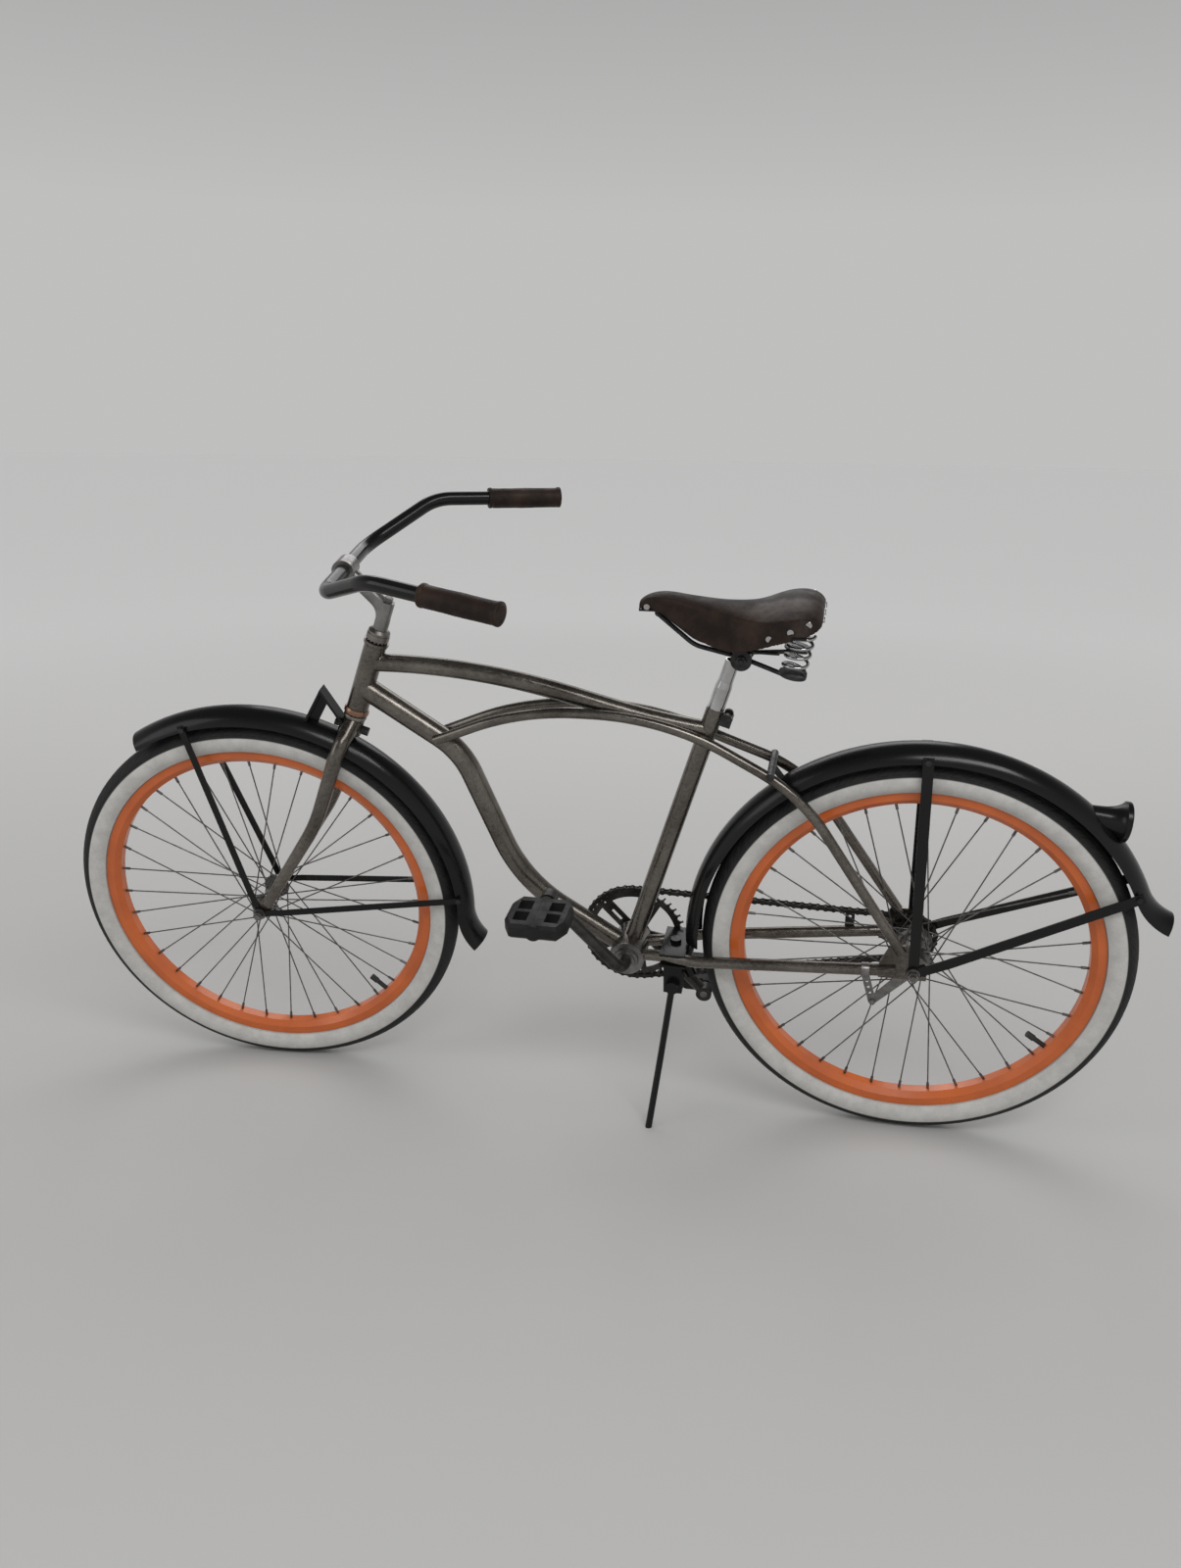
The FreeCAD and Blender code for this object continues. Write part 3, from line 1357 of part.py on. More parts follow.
def rear_axle_set():
    """Rear axle with the brake cone, two brake shoes, locknuts, washers and nuts."""
    half = mm.rear_axle_half
    pieces = [rod(LEFT * -half, LEFT * half, mm.axle_radius)]
    arm_face = mm.brake_arm_inset
    arm_outside = arm_face + mm.brake_arm_thickness
    pieces.append(ring_shape(mm.cone_radius, mm.axle_radius, mm.rear_lock_half - arm_outside,
                             LEFT * arm_outside, LEFT))
    cone_end = mm.brake_shoe_half_length + mm.running_gap
    pieces.append(ring_shape(mm.brake_cone_radius, mm.axle_radius, arm_face - cone_end,
                             LEFT * cone_end, LEFT))
    lock = mm.chain_line + mm.plate_thickness / 2 + mm.link_plate_thickness
    pieces.append(ring_shape(mm.cone_radius, mm.axle_radius, mm.rear_lock_half - lock - mm.running_gap,
                             LEFT * -(mm.rear_lock_half), LEFT))
    shoe = ring_shape(mm.brake_shoe_radius, mm.cone_radius, 2 * mm.brake_shoe_half_length,
                      LEFT * -mm.brake_shoe_half_length, LEFT)
    split = box(Vector(-mm.brake_drum_radius, -mm.rear_lock_half, -mm.stay_thickness),
                Vector(mm.brake_drum_radius, mm.rear_lock_half, mm.stay_thickness))
    pieces += shoe.cut(split).Solids
    pieces += nut_pair(mm.rear_lock_half + mm.dropout_thickness + 2 * mm.stay_thickness)
    keep("rear_axle_set", Part.makeCompound(pieces))


def hub_ball_radius():
    return (mm.race_radius - mm.cone_radius) / 2 - mm.ball_gap


def steering_bearing_balls():
    """Balls of both headset races and of the front hub."""
    circle = (mm.steerer_radius + mm.race_outer_radius) / 2
    radius = mm.headset_ball_radius - mm.ball_gap
    balls = []
    for along in (crown_race_top() + mm.headset_ball_radius, top_race_bottom() - mm.headset_ball_radius):
        balls += ball_ring(steered(along, 0), STEER_UP, circle, radius, mm.headset_ball_count)
    hub_circle = (mm.race_radius + mm.cone_radius) / 2
    reach = mm.front_shell_half - mm.race_depth / 2
    for side in SIDES:
        centre = FRONT_AXLE + LEFT * side * reach
        balls += ball_ring(centre, LEFT, hub_circle, hub_ball_radius(), mm.ball_count)
    keep("steering_bearing_balls", Part.makeCompound(balls), STEERING)


def frame_bearing_balls():
    """Balls of the bottom bracket and of the rear hub."""
    circle = (mm.cup_bore + mm.crank_cone_radius) / 2
    radius = (mm.cup_bore - mm.crank_cone_radius) / 2 - mm.ball_gap
    reach = mm.bracket_shell_half - mm.cup_inset / 2
    balls = []
    for side in SIDES:
        balls += ball_ring(BRACKET + LEFT * side * reach, LEFT, circle, radius, mm.bracket_ball_count)
    race = mm.brake_drum_radius
    hub_circle = (race + mm.brake_cone_radius) / 2
    hub_radius = (race - mm.brake_cone_radius) / 2 - mm.ball_gap
    reach = mm.rear_shell_half - mm.race_depth / 2
    for side in SIDES:
        balls += ball_ring(LEFT * side * reach, LEFT, hub_circle, hub_radius, mm.ball_count)
    keep("frame_bearing_balls", Part.makeCompound(balls))


# Fenders
def fender_section():
    """Half round fender section, in the plane of the radius and the axle."""
    crown = mm.fender_crown_radius
    edge = mm.fender_edge_radius
    half = mm.fender_half_width
    wall = mm.fender_thickness

    def at(radius, left):
        return Vector(radius, left, 0)

    outer = Part.Arc(at(edge, half), at(crown, 0), at(edge, -half))
    inner = Part.Arc(at(edge, -half + wall), at(crown - wall, 0), at(edge, half - wall))
    lips = [Part.LineSegment(at(edge, -half), at(edge, -half + wall)).toShape(),
            Part.LineSegment(at(edge, half - wall), at(edge, half)).toShape()]
    return Part.Face(Part.Wire([outer.toShape(), lips[0], inner.toShape(), lips[1]]))


def fender(start, end):
    """A fender from one angle to another, with a tail that curls away from the wheel."""
    section = fender_section()
    section.rotate(ORIGIN, LEFT, -start)
    shape = section.revolve(ORIGIN, LEFT, start - end)
    last = fender_section()
    last.rotate(ORIGIN, LEFT, -end)
    pivot = polar(mm.fender_crown_radius + mm.tail_bend_radius, end)
    return shape.fuse(last.revolve(pivot, LEFT, mm.tail_angle)).removeSplitter()


def fender_solid(start, end):
    """The space that a fender's shell encloses, for trimming what sits on it."""
    edge = mm.fender_edge_radius
    half = mm.fender_half_width
    outer = Part.Arc(Vector(edge, half, 0), Vector(mm.fender_crown_radius, 0, 0), Vector(edge, -half, 0))
    base = Part.LineSegment(Vector(edge, -half, 0), Vector(edge, half, 0))
    face = Part.Face(Part.Wire([outer.toShape(), base.toShape()]))
    face.rotate(ORIGIN, LEFT, -start)
    return face.revolve(ORIGIN, LEFT, start - end)


def stay_strap(angle, width, straight, eye_start, lock):
    """A flat left-hand fender stay: an eye on the axle and a strap to the fender's edge."""
    eye = Part.makeCylinder(mm.stay_eye_radius, mm.stay_thickness, LEFT * eye_start, LEFT)
    near = polar(straight, angle, eye_start)
    far = polar(mm.stay_reach, angle, mm.fender_half_width)
    run = far - near
    strap = box(Vector(-mm.stay_thickness, 0, -width / 2), Vector(run.Length, mm.stay_thickness, width / 2))
    sideways = LEFT - run * (LEFT.dot(run) / run.Length ** 2)
    strap.Placement = Placement(near, Rotation(run, sideways, run.cross(sideways), "XYZ"))
    neck = box(Vector(0, 0, -width / 2), Vector(straight, mm.stay_thickness, width / 2))
    neck.Placement = Placement(LEFT * eye_start, Rotation(LEFT, -angle))
    hole = Part.makeCylinder(mm.axle_radius, mm.stay_thickness, LEFT * eye_start, LEFT)
    return eye.fuse([neck, strap]).cut([hole, lock]).removeSplitter()


def stay_bolt(angle):
    """The small bolt that holds a left-hand stay to the fender's edge."""
    place = polar(mm.stay_reach - mm.stay_bolt_inset, angle, mm.fender_half_width)
    head_start = place + LEFT * mm.stay_thickness
    shank = rod(place - LEFT * mm.stay_bolt_inset, head_start, mm.stay_bolt_radius)
    head = Part.makeCylinder(mm.stay_bolt_head_radius, mm.stay_bolt_head_height, head_start, LEFT)
    return shank.fuse(head)


def fender_stays(label, bolts_label, angles, width, straight, eye_start, shell, extra_bolts, place):
    """Two stays on each side, with their bolts, cut to meet the fender."""
    left = []
    bolts = []
    for layer, angle in enumerate(angles):
        strap = stay_strap(angle, width, straight, eye_start + layer * mm.stay_thickness, shell)
        bolt = stay_bolt(angle)
        strap = max(strap.cut(bolt).Solids, key=lambda solid: solid.Volume)
        left.append(strap)
        bolt = bolt.cut(shell)
        bolts.append(max(bolt.Solids, key=lambda solid: solid.CenterOfMass.y))
    both = left + [mirrored(piece) for piece in left]
    keep(label, Part.makeCompound(both), place)
    bolts += [mirrored(piece) for piece in bolts]
    keep(bolts_label, Part.makeCompound(bolts + extra_bolts), place)


def ribbon(points, thickness, half_width):
    """A folded flat strap: a centreline in the wheel plane, thickened and widened."""
    sides = []
    for sign in SIDES:
        row = []
        for i, point in enumerate(points):
            before = points[max(i - 1, 0)]
            after = points[min(i + 1, len(points) - 1)]
            first = (point - before) if i else (after - point)
            second = (after - point) if i < len(points) - 1 else first
            a = first.cross(LEFT).normalize()
            b = second.cross(LEFT).normalize()
            mitre = (a + b).normalize()
            row.append(point + mitre * (sign * thickness / 2 / mitre.dot(a)))
        sides.append(row)
    outline = sides[0] + sides[1][::-1]
    face = Part.Face(Part.makePolygon([p - LEFT * half_width for p in outline + outline[:1]]))
    return face.extrude(LEFT * 2 * half_width)


def front_fender():
    place = STEERING * Placement(FRONT_AXLE, Rotation())
    shape = fender(mm.front_fender_start, mm.front_fender_end)
    keep("front_fender", shape, place)
    solid = fender_solid(mm.front_fender_start, mm.front_fender_end)
    bracket, bolts = crown_strap(solid)
    keep("front_fender_bracket", bracket, place)
    fender_stays("front_fender_stays", "front_fender_bolts",
                 (mm.front_stay_first_angle, mm.front_stay_second_angle),
                 mm.front_stay_width, mm.front_stay_straight,
                 mm.front_lock_half + mm.fork_end_thickness, solid, bolts, place)


def crown_strap(solid):
    """The folded and webbed strap from the fork crown to the fender, with its bolts, about the front axle."""
    low = crown_top() - mm.strap_crown_drop
    crown = steered(low, mm.crown_radius) - FRONT_AXLE
    apex = polar(mm.fender_crown_radius + mm.strap_apex_rise, mm.strap_apex_angle)
    foot_radius = mm.fender_crown_radius - mm.strap_thickness
    foot = polar(foot_radius, mm.strap_foot_angle)
    web_angle = math.degrees(mm.strap_web_breadth / foot_radius)
    half = mm.strap_width / 2
    bend = crown + STEER_UP * half / 2
    web = plate([apex, foot, polar(foot_radius, mm.strap_foot_angle + web_angle),
                 apex + (bend - apex).normalize() * mm.strap_web_drop],
                mm.strap_web_thickness, -mm.strap_web_thickness / 2)
    strap = ribbon([crown - STEER_UP * half, bend, apex, foot], mm.strap_thickness, half).fuse(web)
    envelope = crown_envelope()
    envelope.translate(-FRONT_AXLE)
    blades = bar_along(blade_path(), mm.blade_top_radius, mm.blade_end_radius)
    blades.translate(-FRONT_AXLE)
    axis = steered(low, 0) - FRONT_AXLE
    reach = mm.crown_radius + mm.strap_thickness
    bolt = rod(axis - STEER_FORWARD * reach, axis + STEER_FORWARD * reach, mm.crown_bolt_radius)
    strap = strap.cut([solid, envelope, blades, mirrored(blades), bolt])
    strap = max(strap.Solids, key=lambda piece: piece.Volume)
    nuts = []
    for outward, start in ((STEER_FORWARD, reach), (-STEER_FORWARD, mm.crown_radius - mm.strap_thickness)):
        length = reach + mm.crown_nut_length - start
        nut = hexagon(mm.crown_nut_radius, length, axis + outward * start, outward)
        nut = nut.cut([solid, envelope, blades, mirrored(blades), strap])
        nuts.append(max(nut.Solids, key=lambda piece: piece.Volume))
    return strap, nuts


def rear_fender():
    shape = fender(mm.rear_fender_start, mm.rear_fender_end)
    keep("rear_fender", shape)
    solid = fender_solid(mm.rear_fender_start, mm.rear_fender_end)
    bridge = Vector(mm.bridge_x, 0, mm.bridge_z)
    inward = -Vector(bridge).normalize()
    post = rod(bridge, bridge + inward * (bridge.Length - mm.fender_crown_radius + mm.fender_post_radius),
               mm.fender_post_radius)
    bar = rod(bridge - LEFT * mm.arch_knee_y, bridge + LEFT * mm.arch_knee_y, mm.bridge_radius)
    post = max(post.cut([solid, bar]).Solids, key=lambda piece: piece.Volume)
    fender_stays("rear_fender_stays", "rear_fender_bolts",
                 (mm.rear_stay_first_angle, mm.rear_stay_second_angle),
                 mm.rear_stay_width, mm.rear_stay_straight,
                 mm.rear_lock_half + mm.dropout_thickness, solid, [post], BIKE)
    tail_lamp(solid)


def tail_lamp(solid):
    """Horn-shaped lamp housing on the rear fender and its lens."""
    mouth_way = polar(1, HALF_TURN + mm.lamp_tilt)
    root = polar(mm.fender_crown_radius, mm.lamp_angle) - mouth_way * mm.lamp_sink - UP * mm.lamp_drop
    mouth = root + mouth_way * (mm.lamp_depth + mm.lamp_sink)

    def ring(distance, radius):
        return Part.Wire(Part.makeCircle(radius, mouth - mouth_way * distance, mouth_way))

    neck = mm.lamp_neck_radius
    waist = (neck + mm.lamp_mouth_radius) / 2
    depth = mm.lamp_depth + mm.lamp_sink
    rings = [ring(depth, neck * LAMP_ROOT_SHARE), ring(depth / 2, neck), ring(depth / 5, waist),
             ring(mm.lamp_lip, mm.lamp_mouth_radius)]
    horn = Part.makeLoft(rings, True)
    lip = Part.makeCylinder(mm.lamp_mouth_radius, mm.lamp_lip, mouth - mouth_way * mm.lamp_lip, mouth_way)
    lip = lip.makeFillet(mm.lamp_lip / 3, [edge for edge in lip.Edges
                                           if edge.Curve.TypeId == "Part::GeomCircle"][:1])
    inside = Part.makeCylinder(mm.lamp_mouth_radius - mm.lamp_rim, mm.lamp_lens_depth,
                               mouth - mouth_way * mm.lamp_lens_depth, mouth_way)
    lens = Part.makeCylinder(mm.lamp_mouth_radius - mm.lamp_rim, mm.lamp_lens_depth - mm.lamp_wall,
                             mouth - mouth_way * mm.lamp_lens_depth, mouth_way)
    housing = horn.fuse(lip).cut([inside, solid])
    keep("tail_lamp_housing", max(housing.Solids, key=lambda piece: piece.CenterOfMass.z))
    keep("tail_lamp_lens", lens.cut(solid))


# Drive
def pitch_radius(teeth):
    return mm.chain_pitch / 2 / math.sin(math.pi / teeth)


def chain_line_point(centre):
    return centre - LEFT * mm.chain_line


def chain_route():
    """Tangent points and lengths of the chain's loop round ring and sprocket."""
    big = pitch_radius(mm.ring_teeth)
    small = pitch_radius(mm.sprocket_teeth)
    distance = BRACKET.Length
    toward = math.degrees(math.atan2(BRACKET.z, BRACKET.x))
    tilt = math.degrees(math.asin((big - small) / distance))
    upper = toward + HALF_TURN / 2 + tilt
    lower = toward - HALF_TURN / 2 - tilt
    run = math.sqrt(distance ** 2 - (big - small) ** 2)
    ring_wrap = math.radians(HALF_TURN + 2 * tilt) * big
    sprocket_wrap = math.radians(HALF_TURN - 2 * tilt) * small
    return SimpleNamespace(big=big, small=small, upper=upper, lower=lower, run=run,
                           ring_wrap=ring_wrap, sprocket_wrap=sprocket_wrap,
                           total=2 * run + ring_wrap + sprocket_wrap)


def chain_point(route, distance):
    """A point of the loop: upper run forward, round the ring, lower run back, round the sprocket."""
    distance = distance % route.total
    rear_up = polar(route.small, route.upper)
    front_up = BRACKET + polar(route.big, route.upper)
    if distance < route.run:
        return rear_up + (front_up - rear_up) * (distance / route.run)
    distance -= route.run
    if distance < route.ring_wrap:
        return BRACKET + polar(route.big, route.upper - math.degrees(distance / route.big))
    distance -= route.ring_wrap
    rear_low = polar(route.small, route.lower)
    front_low = BRACKET + polar(route.big, route.lower)
    if distance < route.run:
        return front_low + (rear_low - front_low) * (distance / route.run)
    distance -= route.run
    return polar(route.small, route.lower - math.degrees(distance / route.small))


def link_plate(length, inner_face):
    """One pair of link plates along X, waisted between two round ends."""
    tall = mm.link_plate_half_height
    waist = mm.link_waist_half_height
    pieces = []
    for side in SIDES:
        start = inner_face if side > 0 else -inner_face - mm.link_plate_thickness
        ends = [Part.makeCylinder(tall, mm.link_plate_thickness, Vector(x, start, 0), LEFT)
                for x in (0, length)]
        web = box(Vector(0, start, -waist), Vector(length, start + mm.link_plate_thickness, waist))
        pieces.append(web.fuse(ends))
    return pieces


def chain():
    """A roller chain: inner links with rollers and outer links with pins, one solid each."""
    route = chain_route()
    links = int(mm.chain_links)
    step = route.total / links
    length = (chain_point(route, step) - chain_point(route, 0)).Length
    inner_face = mm.roller_half_width
    outer_face = inner_face + mm.link_plate_thickness + mm.link_gap
    pin_half = outer_face + mm.link_plate_thickness + mm.link_gap
    inner = link_plate(length, inner_face)
    outer = link_plate(length, outer_face)
    rollers = []
    pins = []
    for x in (0, length):
        rollers.append(Part.makeCylinder(mm.roller_radius, 2 * inner_face, Vector(x, -inner_face, 0), LEFT))
        pins.append(Part.makeCylinder(mm.pin_radius, 2 * pin_half, Vector(x, -pin_half, 0), LEFT))
    holes = [Part.makeCylinder(mm.pin_radius + mm.link_gap, 2 * pin_half, Vector(x, -pin_half, 0), LEFT)
             for x in (0, length)]
    inner_link = inner[0].fuse(inner[1:] + rollers).cut(holes)
    outer_link = outer[0].fuse(outer[1:] + pins)
    pieces = []
    for i in range(links):
        start = chain_line_point(chain_point(route, i * step))
        run = chain_line_point(chain_point(route, (i + 1) * step)) - start
        link = (inner_link if i % 2 else outer_link).copy()
        link.Placement = Placement(start, Rotation(FORWARD, run))
        pieces.append(link)
    keep("chain", Part.makeCompound(pieces))


def roller_phase(centre, distance):
    """Angle of the roller gap nearest to the middle of a wrapped stretch."""
    route = chain_route()
    links = int(mm.chain_links)
    step = route.total / links
    nearest = chain_point(route, round(distance / step) * step) - centre
    return math.degrees(math.atan2(nearest.z, nearest.x))


def toothed_body(name, teeth, phase):
    """A toothed plate: a padded disc with one roller gap cut and repeated round it."""
    body = doc.addObject("PartDesign::Body", name)
    disc = body.newObject("Sketcher::SketchObject", f"{name}_disc")
    disc.AttachmentSupport = [(origin_plane(body, "XY_Plane"), "")]
    disc.MapMode = "FlatFace"
    tip = pitch_radius(teeth) + mm.tooth_height
    tip_text = f"sizes.chain_pitch / 2 / sin(180 deg / {int(teeth)}) + sizes.tooth_height"
    disc.addGeometry(Part.Circle(ORIGIN, UP, tip))
    disc.addConstraint(Sketcher.Constraint("Coincident", 0, 3, -1, 1))
    disc.addConstraint(Sketcher.Constraint("Radius", 0, tip))
    disc.renameConstraint(1, "tip_radius")
    disc.setExpression("Constraints.tip_radius", tip_text)
    pad = body.newObject("PartDesign::Pad", f"{name}_pad")
    pad.Profile = disc
    pad.setExpression("Length", size.plate_thickness.text)
    gap = body.newObject("Sketcher::SketchObject", f"{name}_gap")
    gap.AttachmentSupport = [(origin_plane(body, "XY_Plane"), "")]
    gap.MapMode = "FlatFace"
    gap_radius = mm.roller_radius + mm.roller_gap
    gap.addGeometry(Part.Circle(Vector(pitch_radius(teeth), 0, 0), UP, gap_radius))
    gap.addConstraint([Sketcher.Constraint("PointOnObject", 0, 3, -1),
                       Sketcher.Constraint("DistanceX", -1, 1, 0, 3, pitch_radius(teeth)),
                       Sketcher.Constraint("Radius", 0, gap_radius)])
    gap.renameConstraint(1, "pitch_radius")
    gap.renameConstraint(2, "gap_radius")
    gap.setExpression("Constraints.pitch_radius", f"sizes.chain_pitch / 2 / sin(180 deg / {int(teeth)})")
    gap.setExpression("Constraints.gap_radius", (size.roller_radius + size.roller_gap).text)
    pocket = body.newObject("PartDesign::Pocket", f"{name}_tooth_gap")
    pocket.Profile = gap
    pocket.Type = "ThroughAll"
    pocket.Midplane = True
    teeth_pattern = body.newObject("PartDesign::PolarPattern", f"{name}_teeth")
    teeth_pattern.Originals = [pocket]
    teeth_pattern.Axis = (gap, ["N_Axis"])
    teeth_pattern.Angle = FULL_TURN
    teeth_pattern.Occurrences = int(teeth)
    body.Tip = teeth_pattern
    turn = Rotation(UP, phase)
    body.Placement = Placement(ORIGIN, Rotation(FORWARD, HALF_TURN / 2)) * Placement(ORIGIN, turn)
    return body


def ring_windows(thickness):
    """Cut-outs of the chainring: five windows, a slot in each arm and small holes."""
    tools = []
    arms = int(mm.ring_arms)
    for i in range(arms):
        angle = FULL_TURN * (2 * i + 1) / (2 * arms)
        middle = FULL_TURN * i / arms
        wedge = ring_shape(mm.ring_rim_inner, mm.ring_hub_radius, thickness, ORIGIN, LEFT)
        bar = box(Vector(0, 0, -mm.ring_arm_width / 2),
                  Vector(mm.ring_rim_inner, thickness, mm.ring_arm_width / 2))
        edges = []
        for side in SIDES:
            arm = bar.copy()
            arm.rotate(ORIGIN, LEFT, -(angle + side * FULL_TURN / arms / 2))
            edges.append(arm)
        spread = FULL_TURN / arms / 2
        far = mm.ring_rim_inner / math.cos(math.radians(spread))
        fan = plate([ORIGIN, polar(far, angle - spread), polar(far, angle + spread)], thickness, 0)
        tools.append(wedge.common(fan).cut(edges))
        slot = box(Vector(mm.ring_slot_inner, 0, -mm.ring_slot_width / 2),
                   Vector(mm.ring_slot_outer, thickness, mm.ring_slot_width / 2))
        slot.rotate(ORIGIN, LEFT, -middle)
        tools.append(slot)
        hole = Part.makeCylinder(mm.ring_hole_radius, thickness, polar(mm.ring_hole_circle, middle), LEFT)
        tools.append(hole)
    return Part.makeCompound(tools)


def chainring():
    route = chain_route()
    phase = roller_phase(BRACKET, route.run + route.ring_wrap / 2)
    teeth = toothed_body("chainring_teeth", mm.ring_teeth, phase)
    windows = doc.addObject("Part::Feature", "chainring_windows")
    thickness = mm.plate_thickness
    bore = Part.makeCylinder(mm.crank_bar_radius, thickness, ORIGIN, LEFT)
    cuts = Part.makeCompound([ring_windows(thickness), bore])
    cuts.rotate(ORIGIN, LEFT, -mm.crank_angle)
    cuts.translate(LEFT * -thickness)
    windows.Shape = cuts
    ring = cut("chainring", teeth, windows)
    node(ring, "chainring", BIKE * Placement(chain_line_point(BRACKET) + LEFT * thickness / 2, Rotation()))


def rear_sprocket():
    """Sprocket and coaster driver in one piece."""
    route = chain_route()
    phase = roller_phase(ORIGIN, 2 * route.run + route.ring_wrap + route.sprocket_wrap / 2)
    teeth = toothed_body("sprocket_teeth", mm.sprocket_teeth, phase)
    thickness = mm.plate_thickness
    inner = mm.chain_line - mm.rear_shell_half - mm.driver_half_gap
    outer = mm.plate_thickness / 2 + mm.link_plate_thickness
    sleeve = doc.addObject("Part::Feature", "driver_sleeve")
    start = LEFT * (-outer - thickness / 2)
    cone_length = mm.chain_line - mm.rear_shell_half + mm.race_depth
    sleeve.Shape = Part.makeCylinder(mm.driver_radius, inner + outer, start, LEFT).fuse(
        Part.makeCylinder(mm.brake_cone_radius, outer + cone_length, start, LEFT))
    joined = doc.addObject("Part::Fuse", "sprocket_and_driver")
    joined.Base = teeth
    joined.Tool = sleeve
    bore = doc.addObject("Part::Feature", "driver_bore")
    bore.Shape = Part.makeCylinder(mm.axle_radius + mm.running_gap, 2 * mm.chain_line,
                                   LEFT * -mm.chain_line, LEFT)
    node(cut("rear_sprocket", joined, bore), "rear_sprocket",
         BIKE * Placement(chain_line_point(ORIGIN) + LEFT * thickness / 2, Rotation()))


def crank_end(side):
    """Pedal axis of one crank arm, at the arm's mid plane."""
    angle = mm.crank_angle if side > 0 else mm.crank_angle + HALF_TURN
    return BRACKET + polar(mm.crank_length, angle, side * mm.crank_end_half_width)


def crank():
    """A one-piece crank: both arms and the spindle bent from one bar."""
    corners = [BRACKET + LEFT * side * mm.crank_half_width for side in SIDES]
    path = rounded_path([crank_end(1), *corners, crank_end(-1)], (mm.crank_bend, mm.crank_bend))
    bar = bar_along(path, mm.crank_bar_radius)
    bosses = []
    holes = []
    for side in SIDES:
        start = crank_end(side) - LEFT * mm.crank_boss_half
        bosses.append(Part.makeCylinder(mm.crank_boss_radius, 2 * mm.crank_boss_half, start, LEFT))
        holes.append(Part.makeCylinder(mm.pedal_spindle_radius, 2 * mm.crank_boss_half, start, LEFT))
    keep("crank", bar.fuse(bosses).cut(holes).removeSplitter())


def bottom_bracket_cups():
    corners = [(size.cup_bore, -size.cup_inset),
               (size.bracket_shell_bore, -size.cup_inset),
               (size.bracket_shell_bore, 0),
               (size.bracket_shell_radius, 0),
               (size.bracket_shell_radius, size.cup_lip),
               (size.cup_bore, size.cup_lip)]
    cups = [turned(f"cup_{index}", corners, across(mm.bracket_shell_half, BRACKET, side))
            for index, side in enumerate(SIDES)]
    group("bottom_bracket_cups", cups)


def crank_cones():
    """Bearing cones on the crank, the left with its lock nut, the right carrying the chainring."""
    nut_start = size.cup_lip + size.running_gap
    step = nut_start + size.crank_nut_height
    left = turned("left_cone", [(size.crank_bar_radius, -size.cup_inset),
                                (size.crank_cone_radius, -size.cup_inset),
                                (size.crank_cone_radius, nut_start),
                                (size.crank_nut_radius, nut_start),
                                (size.crank_nut_radius, step),
                                (size.crank_nut_step_radius, step),
                                (size.crank_nut_step_radius, step + size.crank_nut_step),
                                (size.crank_bar_radius, step + size.crank_nut_step)],
                  across(mm.bracket_shell_half, BRACKET, 1))
    ring_face = size.chain_line - size.plate_thickness / 2 - size.bracket_shell_half
    right = turned("right_cone", [(size.crank_bar_radius, -size.cup_inset),
                                  (size.crank_cone_radius, -size.cup_inset),
                                  (size.crank_cone_radius, nut_start),
                                  (size.crank_nut_radius, nut_start),
                                  (size.crank_nut_radius, ring_face),
                                  (size.crank_bar_radius, ring_face)],
                   across(mm.bracket_shell_half, BRACKET, -1))
    group("crank_cones", [left, right])


def pedal_inner():
    """Distance of a pedal's inner face from the wheel plane."""
    return mm.crank_end_half_width + mm.crank_boss_half + mm.pedal_gap


def pedal_spindles():
    pieces = []
    for side in SIDES:
        end = crank_end(side)
        start = end - LEFT * side * mm.crank_boss_half
        stop = Vector(end.x, side * (pedal_inner() + mm.pedal_width - mm.pedal_cap_length), end.z)
        spindle = rod(start, stop, mm.pedal_spindle_radius)
        outward = LEFT * side
        collar = ring_shape(mm.pedal_barrel_radius - mm.pedal_cap_length, mm.pedal_spindle_radius / 2,
                            mm.pedal_gap - mm.running_gap, end + outward * mm.crank_boss_half, outward)
        pieces.append(spindle.fuse(collar))
    keep("pedal_spindles", Part.makeCompound(pieces))


def pedal_shape(side):
    """A resin pedal: a bevelled platform with two windows and a barrel round the spindle."""
    long = mm.pedal_length / 2
    wide = mm.pedal_width / 2
    corner = mm.pedal_corner
    shoulder = long - corner / 2
    outline = [Vector(long, wide - corner, 0), Vector(shoulder, wide, 0), Vector(-shoulder, wide, 0),
               Vector(-long, wide - corner, 0), Vector(-long, -wide + corner, 0), Vector(-shoulder, -wide, 0),
               Vector(shoulder, -wide, 0), Vector(long, -wide + corner, 0)]
    slab = Part.Face(Part.makePolygon(outline + outline[:1])).extrude(UP * mm.pedal_thickness)
    slab.translate(UP * -mm.pedal_thickness / 2)
    edges = [edge for edge in slab.Edges
             if abs(edge.Vertexes[0].Z - edge.Vertexes[-1].Z) < mm.pedal_play]
    slab = slab.makeChamfer(mm.pedal_thickness / 5, edges)
    tools = []
    for x in SIDES:
        for y in SIDES:
            half = mm.pedal_window_spacing / 2
            centre = Vector(x * half * PEDAL_WINDOW_SHARE, y * half, 0)
            span = Vector(mm.pedal_window_length / 2, mm.pedal_window_width / 2, mm.pedal_thickness)
            tools.append(box(centre - span, centre + span))
    barrel = Part.makeCylinder(mm.pedal_barrel_radius, mm.pedal_width, LEFT * -wide, LEFT)
    bore = Part.makeCylinder(mm.pedal_spindle_radius + mm.pedal_play,
                             mm.pedal_width - mm.pedal_cap_length + mm.running_gap, LEFT * -wide, LEFT)
    shape = slab.cut(tools).fuse(barrel).cut(bore)
    return shape if side > 0 else mirrored(shape)


def pedals():
    for side, label in zip(SIDES, ("left_pedal", "right_pedal")):
        end = crank_end(side)
        centre = Vector(end.x, side * (pedal_inner() + mm.pedal_width / 2), end.z)
        keep(label, pedal_shape(side), BIKE * Placement(centre, Rotation()))


